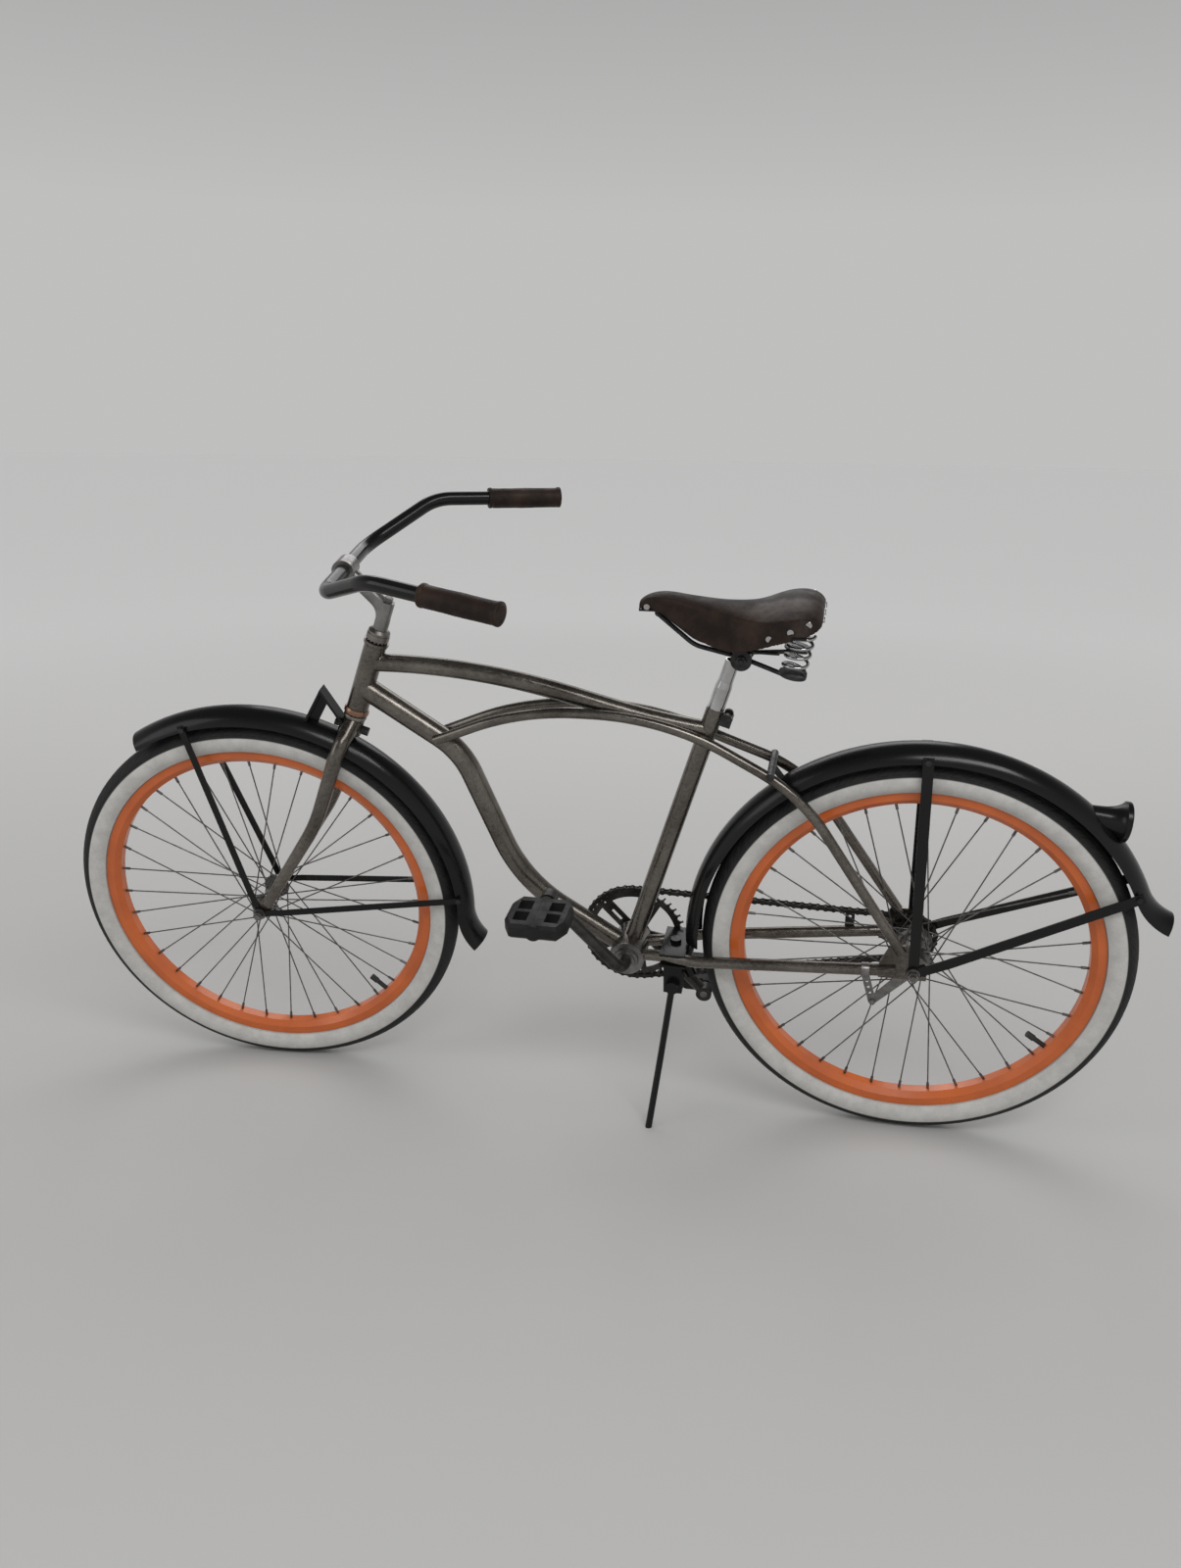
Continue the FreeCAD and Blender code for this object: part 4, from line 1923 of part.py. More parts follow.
# Coaster brake arm
def brake_arm():
    """The arm that holds the brake to the frame, with its clip and screw on the chain stay."""
    start = mm.brake_arm_inset
    end = polar(mm.brake_arm_length, mm.brake_arm_angle)
    eye = Part.makeCylinder(mm.brake_hub_radius, mm.brake_arm_thickness, LEFT * start, LEFT)
    tip = Part.makeCylinder(mm.brake_arm_end_width / 2, mm.brake_arm_thickness, end + LEFT * start, LEFT)
    side = polar(1, mm.brake_arm_angle + HALF_TURN / 2)
    web = plate([side * mm.brake_arm_width / 2, end + side * mm.brake_arm_end_width / 2,
                 end - side * mm.brake_arm_end_width / 2, side * -mm.brake_arm_width / 2],
                mm.brake_arm_thickness, start)
    hole = Part.makeCylinder(mm.axle_radius, mm.brake_arm_thickness, LEFT * start, LEFT)
    screw_hole = Part.makeCylinder(mm.clip_bolt_radius, mm.brake_arm_thickness, end + LEFT * start, LEFT)
    keep("brake_arm", eye.fuse([tip, web]).cut([hole, screw_hole]).removeSplitter())


def brake_arm_strap():
    """A folded strap from the arm up and over the chain stay, and the screw through the arm."""
    end = polar(mm.brake_arm_length, mm.brake_arm_angle)
    face = mm.brake_arm_inset + mm.brake_arm_thickness
    run = Vector(mm.chain_stay_end_x - mm.chain_stay_wide_x, mm.chain_stay_end_y - mm.chain_stay_wide_y, 0)
    out = mm.chain_stay_wide_y + (mm.clip_x - mm.chain_stay_wide_x) / run.x * run.y
    centre = Vector(mm.clip_x, out, stay_height_at(mm.clip_x))
    band = ring_shape(mm.chain_stay_radius + mm.clip_thickness, mm.chain_stay_radius - mm.clip_thickness,
                      mm.clip_width, centre - FORWARD * mm.clip_width / 2, FORWARD)
    top = Vector(centre.x, 0, centre.z - mm.chain_stay_radius)
    side = (top - end).cross(LEFT).normalize() * mm.clip_width / 2
    strap = plate([end + side, top + side, top - side, end - side], mm.clip_thickness, face)
    holes = [Part.makeCylinder(mm.clip_hole_radius, mm.clip_thickness,
                               end + (top - end) * share + LEFT * face, LEFT)
             for share in CLIP_HOLE_SHARES]
    screw_way = Part.makeCylinder(mm.clip_bolt_radius, mm.clip_thickness, end + LEFT * face, LEFT)
    strap = strap.fuse(band).cut(holes + [screw_way, chain_stay_solid(1)])
    strap = max(strap.Solids, key=lambda piece: piece.Volume)
    low = mm.brake_arm_inset
    screw = rod(end + LEFT * low, end + LEFT * (face + mm.clip_thickness), mm.clip_bolt_radius)
    outer = end + LEFT * (face + mm.clip_thickness)
    heads = [hexagon(mm.clip_bolt_head_radius, mm.clip_bolt_head_height, outer, LEFT),
             hexagon(mm.clip_bolt_head_radius, mm.clip_bolt_head_height, end + LEFT * low, -LEFT)]
    keep("brake_arm_strap", Part.makeCompound([strap, screw.fuse(heads)]))


# Side stand
def stay_height_at(x):
    """Height of the chain stays' centreline."""
    share = (BRACKET.x - x) / (BRACKET.x - mm.chain_stay_end_x)
    return BRACKET.z + share * (mm.chain_stay_end_z - BRACKET.z)


def stand_pivot():
    return Vector(mm.stand_x, mm.stand_block_outer, stay_height_at(mm.stand_x) - mm.stand_pivot_drop)


def kickstand_bracket():
    """Top plate, block below the stays and the bolt between them."""
    middle = stay_height_at(mm.stand_x)
    half = mm.stand_plate_length / 2
    top_z = middle + mm.chain_stay_radius - mm.stand_plate_sink
    low_z = middle - mm.chain_stay_radius + mm.stand_plate_sink
    stays = [chain_stay_solid(1), chain_stay_solid(-1)]
    shell = shell_envelope()
    wide = mm.stand_plate_half_width
    top = box(Vector(mm.stand_x - half, -wide, top_z),
              Vector(mm.stand_x + half, wide, top_z + mm.stand_plate_thickness))
    low = box(Vector(mm.stand_x - half, -wide, low_z - mm.stand_plate_thickness),
              Vector(mm.stand_x + half, wide, low_z))
    block_half = mm.stand_block_length / 2
    block = box(Vector(mm.stand_x - block_half, mm.stand_block_inner, low_z - mm.stand_block_depth),
                Vector(mm.stand_x + block_half, mm.stand_block_outer, low_z))
    lug_start = Vector(mm.stand_x - half + mm.stand_lug_radius, mm.stand_block_inner,
                       low_z - mm.stand_plate_thickness / 2)
    lug_way = polar(1, HALF_TURN * 3 / 2 - mm.stand_lug_angle)
    lug = rod(lug_start, lug_start + lug_way * mm.stand_lug_length, mm.stand_lug_radius)
    above = box(Vector(0, -wide, low_z), Vector(BRACKET.x, wide, top_z))
    bolt_top = Vector(mm.stand_x, 0, top_z + mm.stand_plate_thickness)
    bolt_low = Vector(mm.stand_x, 0, low_z - mm.stand_plate_thickness)
    shank = rod(bolt_low, bolt_top, mm.stand_bolt_radius)
    heads = [Part.makeCylinder(mm.stand_bolt_head_radius, mm.stand_bolt_head_height, bolt_top, UP),
             Part.makeCylinder(mm.stand_bolt_head_radius, mm.stand_bolt_head_height, bolt_low, -UP)]
    bolt = shank.fuse(heads)
    pin_hole = Part.makeCylinder(mm.stand_pin_radius + mm.stand_pin_play, 3 * wide,
                                 stand_pivot() - LEFT * 2 * wide, LEFT)
    body = low.fuse([block, lug.cut(above)]).cut(stays + [bolt, pin_hole, shell])
    body = max(body.Solids, key=lambda piece: piece.Volume)
    top = max(top.cut(stays + [bolt, shell]).Solids, key=lambda piece: piece.Volume)
    keep("kickstand_bracket", Part.makeCompound([top, body, bolt]))


def kickstand_leg():
    """The stand's leg: a pivot head with its pin, and a bent rod cut flat on the floor."""
    pivot = stand_pivot()
    head_start = pivot + LEFT * mm.running_gap
    head = Part.makeCylinder(mm.stand_head_radius, mm.stand_head_length, head_start, LEFT)
    pin = Part.makeCylinder(mm.stand_pin_radius, mm.stand_block_outer - mm.stand_block_inner + mm.running_gap,
                            Vector(mm.stand_x, mm.stand_block_inner, pivot.z), LEFT)
    top = head_start + LEFT * mm.stand_head_length / 2
    knee = pivot + Vector(mm.stand_knee_forward, mm.stand_knee_left, -mm.stand_knee_drop)
    foot = pivot + Vector(mm.stand_foot_forward, mm.stand_foot_left, -mm.stand_foot_drop)
    knee_height = BIKE.multVec(knee).z
    way = (foot - knee) * (knee_height / (knee_height - BIKE.multVec(foot).z))
    end = knee + way + Vector(way).normalize() * mm.cut_overrun
    leg = bar_along(rounded_path([top, knee, end], (mm.stand_knee_bend,)), mm.stand_leg_radius)
    floor = box(Vector(-mm.wheel_base, -mm.wheel_base, -mm.wheel_base),
                Vector(mm.wheel_base, mm.wheel_base, 0))
    floor.Placement = BIKE.inverse()
    shape = leg.fuse([head, pin]).cut(floor).removeSplitter()
    keep("kickstand_leg", shape)


# Seat
def seat_post():
    low = mm.seat_tube_length - mm.post_insert
    length = size.post_top_along - size.seat_tube_length + size.post_insert
    shoulder = length - size.post_neck_length - size.post_neck_taper
    corners = [(size.post_radius - size.frame_wall * 2, 0),
               (size.post_radius, 0),
               (size.post_radius, shoulder),
               (size.post_neck_radius, shoulder + size.post_neck_taper),
               (size.post_neck_radius, length),
               (size.post_radius - size.frame_wall * 2, length)]
    body = turned("seat_post", corners)
    node(body, "seat_post", BIKE * Placement(seat_point(low), Rotation(UP, SEAT_UP)))


def seat_binder():
    """The split lug behind the seat tube's top and the bolt that pinches it."""
    centre = seat_point(mm.seat_tube_length - mm.binder_drop)
    lug = box(Vector(-mm.seat_tube_radius - mm.binder_reach, -mm.binder_half_width, -mm.binder_height / 2),
              Vector(0, mm.binder_half_width, mm.binder_height / 2))
    lug.Placement = Placement(centre, Rotation(UP, SEAT_UP))
    back = centre - FORWARD * (mm.seat_tube_radius + mm.binder_reach / 2)
    reach = LEFT * mm.binder_half_width
    bolt = rod(back - reach, back + reach, mm.binder_bolt_radius)
    heads = [Part.makeCylinder(mm.binder_head_radius, mm.binder_head_height, back + reach, LEFT),
             Part.makeCylinder(mm.binder_head_radius, mm.binder_head_height, back - reach, -LEFT)]
    slit_half = mm.stay_thickness / 2
    slit = box(Vector(-mm.seat_tube_radius - mm.binder_reach, -slit_half, -mm.binder_height / 2),
               Vector(-mm.seat_tube_radius - mm.binder_bolt_radius / 2, slit_half, mm.binder_height / 2))
    slit.Placement = lug.Placement
    bolt = bolt.fuse(heads)
    lug = max(lug.cut([seat_envelope(), bolt, slit]).Solids, key=lambda piece: piece.Volume)
    keep("seat_binder", Part.makeCompound([lug, bolt]))


def clamp_centre():
    top = seat_point(mm.post_top_along)
    return top - FORWARD * mm.saddle_clamp_back + UP * mm.saddle_clamp_up


def saddle_hinge():
    """Middle of the rails' nose loop, about which the saddle rocks."""
    return clamp_centre() + Vector(mm.rail_nose_forward, 0, mm.rail_nose_up)


def rail_points():
    """The left saddle rail: from the middle of the nose loop past the clamp to the spring seat."""
    clamp = clamp_centre()
    seat_low = spring_axis()[0] - UP * (mm.spring_seat_thickness + mm.rail_radius)
    return [saddle_hinge(),
            saddle_hinge() + LEFT * mm.rail_nose_left,
            clamp + Vector(mm.rail_belly_forward, mm.rail_belly_left, mm.rail_belly_up),
            clamp + LEFT * mm.rail_half_gap,
            seat_low]


def rail_bars():
    """The left half of the bent rail wire."""
    bends = (mm.rail_nose_bend, mm.rail_bend, mm.rail_bend)
    return bar_along(rounded_path(rail_points(), bends), mm.rail_radius)


def seat_post_envelope():
    start = seat_point(mm.post_top_along - mm.post_neck_length)
    return Part.makeCylinder(mm.post_neck_radius, mm.post_neck_length, start, SEAT_UP)


def saddle_clamp():
    """The clamp on the post's neck, gripping both rails, with a round boss and a nut on each side."""
    centre = clamp_centre()
    half = mm.saddle_clamp_half
    radius = mm.saddle_clamp_radius * CLAMP_BARREL_SHARE
    barrel = Part.makeCylinder(radius, 2 * half, centre - LEFT * half, LEFT)
    discs = []
    for side in SIDES:
        outward = LEFT * side
        face = centre + outward * (half + mm.saddle_disc_thickness)
        discs.append(Part.makeCylinder(mm.saddle_clamp_radius, mm.saddle_disc_thickness,
                                       centre + outward * half, outward))
        discs.append(hexagon(mm.clamp_nut_radius, mm.clamp_nut_height, face, outward))
        discs.append(Part.makeCylinder(mm.clamp_stud_radius, mm.clamp_stud_length, face, outward))
    top = seat_point(mm.post_top_along)
    low = seat_point(mm.post_top_along - mm.post_neck_length * CLAMP_SLEEVE_SHARE)
    sleeve = rod(low, top, mm.post_neck_radius + mm.frame_wall * 2)
    rails = rail_bars()
    brace = brace_bar()
    tools = [rails, mirrored(rails), brace, mirrored(brace), seat_post_envelope()]
    shape = barrel.fuse(discs + [sleeve]).cut(tools)
    shape = max(shape.removeSplitter().Solids, key=lambda piece: piece.Volume)
    keep("saddle_clamp", shape)


def brace_bar():
    """The left upper brace, from the clamp back to the spring's middle."""
    clamp = clamp_centre()
    start = clamp + Vector(0, mm.rail_half_gap, mm.brace_up)
    end = clamp + Vector(-mm.brace_rear_back, mm.brace_rear_left, mm.brace_rear_up)
    return rod(start, end, mm.brace_radius)


def spring_axis():
    """Lower and upper end of the left coil spring's axis."""
    low = clamp_centre() + Vector(-mm.spring_clamp_distance, mm.spring_left, -mm.spring_drop)
    return low, low + Vector(-mm.spring_back, 0, mm.spring_height)


def saddle_undercarriage():
    """The rail wire with its spring seats, bent to a loop at the nose, and both upper braces."""
    rail = rail_bars()
    low, top = spring_axis()
    axis = (top - low).normalize()
    seat = Part.makeCylinder(mm.spring_seat_radius, mm.spring_seat_thickness,
                             low - axis * mm.spring_seat_thickness, axis)
    left = rail.fuse([seat]).removeSplitter()
    brace = brace_bar()
    brace = max(brace.cut(left).Solids, key=lambda piece: piece.Volume)
    rails = left.fuse(mirrored(left)).removeSplitter()
    rails = max(rails.Solids, key=lambda piece: piece.Volume)
    keep("saddle_undercarriage", Part.makeCompound([rails, brace, mirrored(brace)]))


def biarc(start, start_way, end, end_way):
    """Two arcs that join two points with given directions."""
    chord = end - start
    total = start_way + end_way
    bend = 2 * (1 - start_way.dot(end_way))
    lead = chord.dot(total)
    reach = (math.sqrt(lead ** 2 + bend * chord.dot(chord)) - lead) / bend
    middle = (start + start_way * reach + end - end_way * reach) / 2
    arcs = []
    for first, way, last in ((start, start_way, middle), (middle, None, end)):
        corner = start + start_way * reach if way is not None else end - end_way * reach
        half_chord = (last - first) / 2
        centre_line = first + half_chord
        toward = corner - centre_line
        angle = math.atan2(toward.Length, half_chord.Length)
        sagitta = half_chord.Length * math.tan(angle / 2)
        arcs.append(Part.Arc(first, centre_line + toward.normalize() * sagitta, last).toShape())
    return arcs


def spring_path():
    """A coil spring's centreline in quarter turns."""
    low, top = spring_axis()
    axis = top - low
    length = axis.Length - 2 * mm.spring_wire
    axis.normalize()
    side = axis.cross(LEFT).normalize()
    other = axis.cross(side)
    turns = mm.spring_turns
    base = low + axis * mm.spring_wire

    def at(share):
        angle = FULL_TURN * turns * share
        out = side * math.cos(math.radians(angle)) + other * math.sin(math.radians(angle))
        way = other * math.cos(math.radians(angle)) - side * math.sin(math.radians(angle))
        rise = length / (2 * math.pi * turns * mm.spring_radius)
        return base + axis * (length * share) + out * mm.spring_radius, (way + axis * rise).normalize()

    quarters = int(turns * 4)
    edges = []
    for i in range(quarters):
        start, start_way = at(i / quarters)
        end, end_way = at((i + 1) / quarters)
        edges += biarc(start, start_way, end, end_way)
    return Part.Wire(edges)


def saddle_springs():
    path = spring_path()
    coil = bar_along(path, mm.spring_wire)
    points = path.discretize(Number=int(mm.spring_turns * FULL_TURN / 5))
    apart = int(len(points) / mm.spring_turns / 2)
    gap = min(a.distanceToPoint(b) for i, a in enumerate(points) for b in points[i + apart:])
    print("least gap of a saddle spring to itself:", round(gap - 2 * mm.spring_wire, 2), "mm")
    keep("saddle_springs", Part.makeCompound([coil, mirrored(coil)]))


def saddle_section(shares, inset):
    """Corners of one arch of the leather: skirt, shoulder and crown, at one place along it."""
    along, width_share, top_share, skirt_share = shares
    clamp = clamp_centre()
    x = clamp.x + mm.saddle_nose_forward - along * mm.saddle_length
    half = mm.saddle_half_width * width_share - inset
    crown = clamp.z + mm.saddle_top_up
    top = crown - mm.saddle_skirt_depth * top_share - inset
    skirt = crown - mm.saddle_skirt_depth * skirt_share
    shoulder = top - (top - skirt) * SADDLE_CROWN_SHARE - half * SADDLE_CROWN_SHARE
    return x, half, top, skirt, shoulder


def saddle_wire(shares):
    """One closed section of the leather shell."""
    x, half, top, skirt, shoulder = saddle_section(shares, 0)
    _, in_half, in_top, _, in_shoulder = saddle_section(shares, mm.leather_thickness)
    flat = SADDLE_SHOULDER_SHARE

    def at(left, up):
        return Vector(x, left, up)

    outer = [at(half, skirt), at(half * (1 + flat) / 2, shoulder), at(0, top),
             at(-half * (1 + flat) / 2, shoulder), at(-half, skirt)]
    inner = [at(-in_half, skirt), at(-in_half * (1 + flat) / 2, in_shoulder), at(0, in_top),
             at(in_half * (1 + flat) / 2, in_shoulder), at(in_half, skirt)]
    edges = [Part.LineSegment(outer[0], outer[1]).toShape(),
             Part.Arc(outer[1], outer[2], outer[3]).toShape(),
             Part.LineSegment(outer[3], outer[4]).toShape(),
             Part.LineSegment(outer[4], inner[0]).toShape(),
             Part.LineSegment(inner[0], inner[1]).toShape(),
             Part.Arc(inner[1], inner[2], inner[3]).toShape(),
             Part.LineSegment(inner[3], inner[4]).toShape(),
             Part.LineSegment(inner[4], outer[0]).toShape()]
    return Part.Wire(edges)


def saddle_leather_shape():
    """The leather shell, with the back turned down as a wall."""
    shell = Part.makeLoft([saddle_wire(shares) for shares in SADDLE_SHARES], True)
    rim_edges = saddle_wire(SADDLE_SHARES[-1]).OrderedEdges[:3]
    foot = Part.LineSegment(rim_edges[2].Vertexes[-1].Point, rim_edges[0].Vertexes[0].Point).toShape()
    wall = Part.Face(Part.Wire([*rim_edges, foot])).extrude(FORWARD * mm.leather_thickness)
    return shell.fuse(wall)


def saddle_top():
    """Leather cover, the steel cantle and nose plates under it, and the rivets through it."""
    leather = saddle_leather_shape()
    keep("saddle_leather", leather)
    keep("saddle_frame", saddle_frame_shape(leather))
    keep("saddle_rivets", Part.makeCompound(rivet_shapes(leather)))


def saddle_frame_shape(leather):
    """Cantle plate across the back, and the nose plate with its eye round the rails' loop."""
    top = spring_axis()[1]
    clamp = clamp_centre()
    nose_tip = clamp.x + mm.saddle_nose_forward
    x = nose_tip - mm.saddle_length + mm.cantle_inset
    z = top.z + mm.running_gap
    cantle = box(Vector(x, -mm.cantle_half_width, z),
                 Vector(x + mm.cantle_depth, mm.cantle_half_width, z + mm.cantle_thickness))
    cantle = max(cantle.cut(leather).Solids, key=lambda piece: piece.Volume)
    half = mm.rail_nose_left + mm.rail_radius
    eye_bore = mm.rail_radius + mm.running_gap
    nose_z = clamp.z + mm.rail_nose_up + eye_bore + mm.running_gap
    nose = box(Vector(nose_tip - mm.nose_plate_length, -half, nose_z),
               Vector(nose_tip, half, nose_z + mm.nose_plate_thickness))
    eye = ring_shape(eye_bore + mm.nose_eye_wall, eye_bore, 2 * mm.nose_eye_half,
                     saddle_hinge() - LEFT * mm.nose_eye_half, LEFT)
    nose = max(nose.fuse(eye).cut(leather).Solids, key=lambda piece: piece.Volume)
    return Part.makeCompound([cantle, nose])


def blended_shares(along):
    """Saddle shares at a place between two of the listed ones."""
    index = max(i for i, shares in enumerate(SADDLE_SHARES[:-1]) if shares[0] <= along)
    first = SADDLE_SHARES[index]
    second = SADDLE_SHARES[index + 1]
    blend = (along - first[0]) / (second[0] - first[0])
    return [a + (b - a) * blend for a, b in zip(first, second)]


def rivet(leather, start, way):
    """A rivet head seated on the leather where a line from inside comes out."""
    line = Part.LineSegment(start, start + way * mm.saddle_half_width).toShape()
    hits = [vertex.Point for vertex in leather.common(line).Vertexes]
    seat = max(hits, key=lambda point: point.dot(way))
    head = Part.makeCylinder(mm.rivet_radius, 2 * mm.rivet_height, seat - way * mm.rivet_height, way)
    return max(head.cut(leather).Solids, key=lambda piece: piece.CenterOfMass.dot(way))


def rivet_shapes(leather):
    """Rivets on both flanks, at the nose and across the back."""
    rivets = []
    for along, down in RIVET_FLANK_SHARES:
        x, half, _, skirt, shoulder = saddle_section(blended_shares(along), 0)
        for side in SIDES:
            start = Vector(x, side * half / 2, shoulder + (skirt - shoulder) * down)
            rivets.append(rivet(leather, start, LEFT * side))
    x, half, _, skirt, shoulder = saddle_section(SADDLE_SHARES[-1], 0)
    for share in RIVET_BACK_SHARES:
        start = Vector(x + mm.leather_thickness / 2, half * share, (skirt + shoulder) / 2)
        rivets.append(rivet(leather, start, -FORWARD))
    return rivets


def failed_objects():
    """Document objects that did not recompute, and nodes without a valid shape."""
    bad = [item.Name for item in doc.Objects if "Invalid" in item.State or "Error" in item.State]
    for feature in nodes:
        if feature.Shape.isNull() or not feature.Shape.isValid():
            bad.append(feature.Label)
    return bad


def report_places():
    """Print the places of axes and mounts in the finished frame."""
    def show(name, point, direction, place):
        where = place.multVec(point)
        way = place.Rotation.multVec(direction)
        print("place", name, *[round(v, 3) for v in where], *[round(v, 6) for v in way])

    show("steering", steered(mm.head_tube_start, 0), STEER_UP, BIKE)
    show("front_wheel", FRONT_AXLE, LEFT, STEERING)
    show("rear_wheel", ORIGIN, LEFT, BIKE)
    show("crank", BRACKET, LEFT, BIKE)
    show("left_pedal", crank_end(1), LEFT, BIKE)
    show("right_pedal", crank_end(-1), LEFT, BIKE)
    show("kickstand", stand_pivot(), LEFT, BIKE)
    show("seat", seat_point(mm.seat_tube_length), SEAT_UP, BIKE)
    show("saddle", saddle_hinge(), LEFT, BIKE)
    show("front_axle_left", FRONT_AXLE + LEFT * mm.front_axle_half, LEFT, STEERING)
    show("front_axle_right", FRONT_AXLE - LEFT * mm.front_axle_half, -LEFT, STEERING)
    show("rear_axle_left", LEFT * mm.rear_axle_half, LEFT, BIKE)
    show("rear_axle_right", LEFT * -mm.rear_axle_half, -LEFT, BIKE)
    show("bar_clamp", steered(mm.clamp_along, mm.clamp_forward), LEFT, STEERING)
    show("guard_tab", guard_hole_place(), -LEFT, BIKE)
    foot = next(item for item in nodes if item.Label == "kickstand_leg").Shape
    sole = min(foot.Faces, key=lambda face: face.BoundBox.ZMax)
    print("place stand_foot", *[round(v, 3) for v in sole.CenterOfMass], 0, 0, -1)


def main():
    for build in (head_tube, main_tubes, seat_tube, bottom_bracket_shell, arch_stays, chain_stays,
                  frame_bridges, headset_cups, bottom_bracket_cups, rear_fender, kickstand_bracket,
                  seat_binder, rear_axle_set, brake_arm, brake_arm_strap, frame_bearing_balls,
                  fork_crown, fork_blades, headset_races, stem, stem_bolts, handlebar, handlebar_grips,
                  front_fender, front_axle_set, steering_bearing_balls, front_wheel, rear_wheel,
                  rear_sprocket, crank, chainring, chain, crank_cones, pedal_spindles, pedals,
                  kickstand_leg, seat_post, saddle_clamp, saddle_undercarriage, saddle_springs, saddle_top):
        build()
    doc.recompute()
    bad = failed_objects()
    if bad:
        raise RuntimeError(f"failed: {', '.join(bad)}")
    os.makedirs("parts", exist_ok=True)
    for feature in nodes:
        feature.Shape.exportStep(f"parts/{feature.Label}.step")
        print(feature.Label, len(feature.Shape.Solids), "solids", round(feature.Shape.Volume), "mm3")
    report_places()


main()
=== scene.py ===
"""Looks of a beach cruiser bicycle that leans on its side stand, built round its solid model."""
import json
import math

import bmesh
import bpy
import numpy as np
from mathutils import Matrix, Vector, noise


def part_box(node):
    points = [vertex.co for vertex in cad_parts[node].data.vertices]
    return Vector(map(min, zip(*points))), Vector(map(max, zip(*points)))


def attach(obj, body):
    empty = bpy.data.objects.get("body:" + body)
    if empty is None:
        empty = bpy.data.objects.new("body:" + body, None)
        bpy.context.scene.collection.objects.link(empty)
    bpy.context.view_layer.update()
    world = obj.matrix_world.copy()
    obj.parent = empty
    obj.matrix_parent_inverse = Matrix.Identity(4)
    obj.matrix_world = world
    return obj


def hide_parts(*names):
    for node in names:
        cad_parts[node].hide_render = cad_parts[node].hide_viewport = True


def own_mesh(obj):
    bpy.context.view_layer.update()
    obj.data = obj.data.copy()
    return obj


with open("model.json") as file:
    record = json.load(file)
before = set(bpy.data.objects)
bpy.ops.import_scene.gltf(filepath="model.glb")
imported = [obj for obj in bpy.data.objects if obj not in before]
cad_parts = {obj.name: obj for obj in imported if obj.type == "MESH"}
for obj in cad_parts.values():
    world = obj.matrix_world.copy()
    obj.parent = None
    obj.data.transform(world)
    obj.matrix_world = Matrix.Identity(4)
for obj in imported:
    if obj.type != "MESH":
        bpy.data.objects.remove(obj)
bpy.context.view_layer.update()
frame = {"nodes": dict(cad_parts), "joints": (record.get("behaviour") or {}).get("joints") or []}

bl_info = {
    "name": "Beach cruiser bicycle",
    "version": (1, 0, 0),
    "blender": (4, 5, 0),
    "location": "View3D > Sidebar > Cruiser",
    "description": "Finishes and soft pieces of a beach cruiser bicycle",
    "category": "Object",
}

MILLIMETRE = 0.001
FULL_TURN = 2 * math.pi
SENSOR_HEIGHT_MM = 36.0
PHOTO_HEIGHT = 1600


# Sizes and colours that a user would change

def colour_property(name, description, default):
    return bpy.props.FloatVectorProperty(
        name=name, description=description, default=default, size=3, min=0, max=1, subtype="COLOR")


def length_property(name, description, default):
    return bpy.props.FloatProperty(
        name=name, description=description, default=default, min=0, unit="LENGTH", precision=4)


class CruiserFinish(bpy.types.PropertyGroup):
    steel_light: colour_property("Bare steel, light", "Brushed parts of the tubes", (0.205, 0.187, 0.164))
    steel_dark: colour_property("Bare steel, dark", "Heat-stained parts of the tubes", (0.068, 0.058, 0.049))
    copper: colour_property("Copper", "Lower headset cup", (0.30, 0.135, 0.075))
    black: colour_property("Black paint", "Fenders, bars, stand and lamp", (0.0030, 0.0032, 0.0034))
    black_worn: colour_property("Black paint, dusty", "Dust on the black paint", (0.0065, 0.0065, 0.0062))
    rim: colour_property("Rim orange", "Paint of the rims", (0.60, 0.128, 0.020))
    rim_shade: colour_property("Rim orange, dull", "Handled places on the rims", (0.46, 0.094, 0.016))
    white_wall: colour_property("White wall", "Clean white rubber", (0.55, 0.54, 0.515))
    white_wall_dirt: colour_property("White wall, dirty", "Scuffed white rubber", (0.43, 0.42, 0.40))
    tread: colour_property("Tread", "Black rubber", (0.009, 0.009, 0.0095))
    tread_dust: colour_property("Tread, dusty", "Dust in the black rubber", (0.026, 0.025, 0.023))
    leather: colour_property("Leather", "Dark brown leather", (0.0105, 0.0052, 0.0033))
    leather_worn: colour_property("Leather, worn", "Rubbed leather", (0.036, 0.0185, 0.011))
    stitch: colour_property("Stitching", "Thread of the grips", (0.085, 0.048, 0.028))
    lens: colour_property("Lens", "Valleys of the lamp lens", (0.30, 0.006, 0.008))
    lens_light: colour_property("Lens, light", "Ribs of the lamp lens", (0.46, 0.014, 0.014))


class CruiserSizes(bpy.types.PropertyGroup):
    white_wall_start: length_property("White wall start", "Radius where the white begins", 0.286)
    white_wall_end: length_property("White wall end", "Radius where the white ends", 0.3135)
    white_wall_edge: length_property("White wall edge", "Width of the blend at its edges", 0.0012)
    leather_voxel: length_property("Leather voxel", "Mesh size of the saddle cover", 0.0017)
    leather_wave: length_property("Leather waves", "Height of the saddle's worn waves", 0.0005)
    leather_inset: length_property("Leather inset", "How far the cover lies inside the solid", 0.0007)
    stitch_pitch: length_property("Stitch pitch", "Distance between the grip stitches", 0.0052)
    stitch_radius: length_property("Stitch radius", "Half thickness of the grip thread", 0.00045)
    seam_ridge: length_property("Seam ridge", "Height of the grip's folded seam", 0.0011)


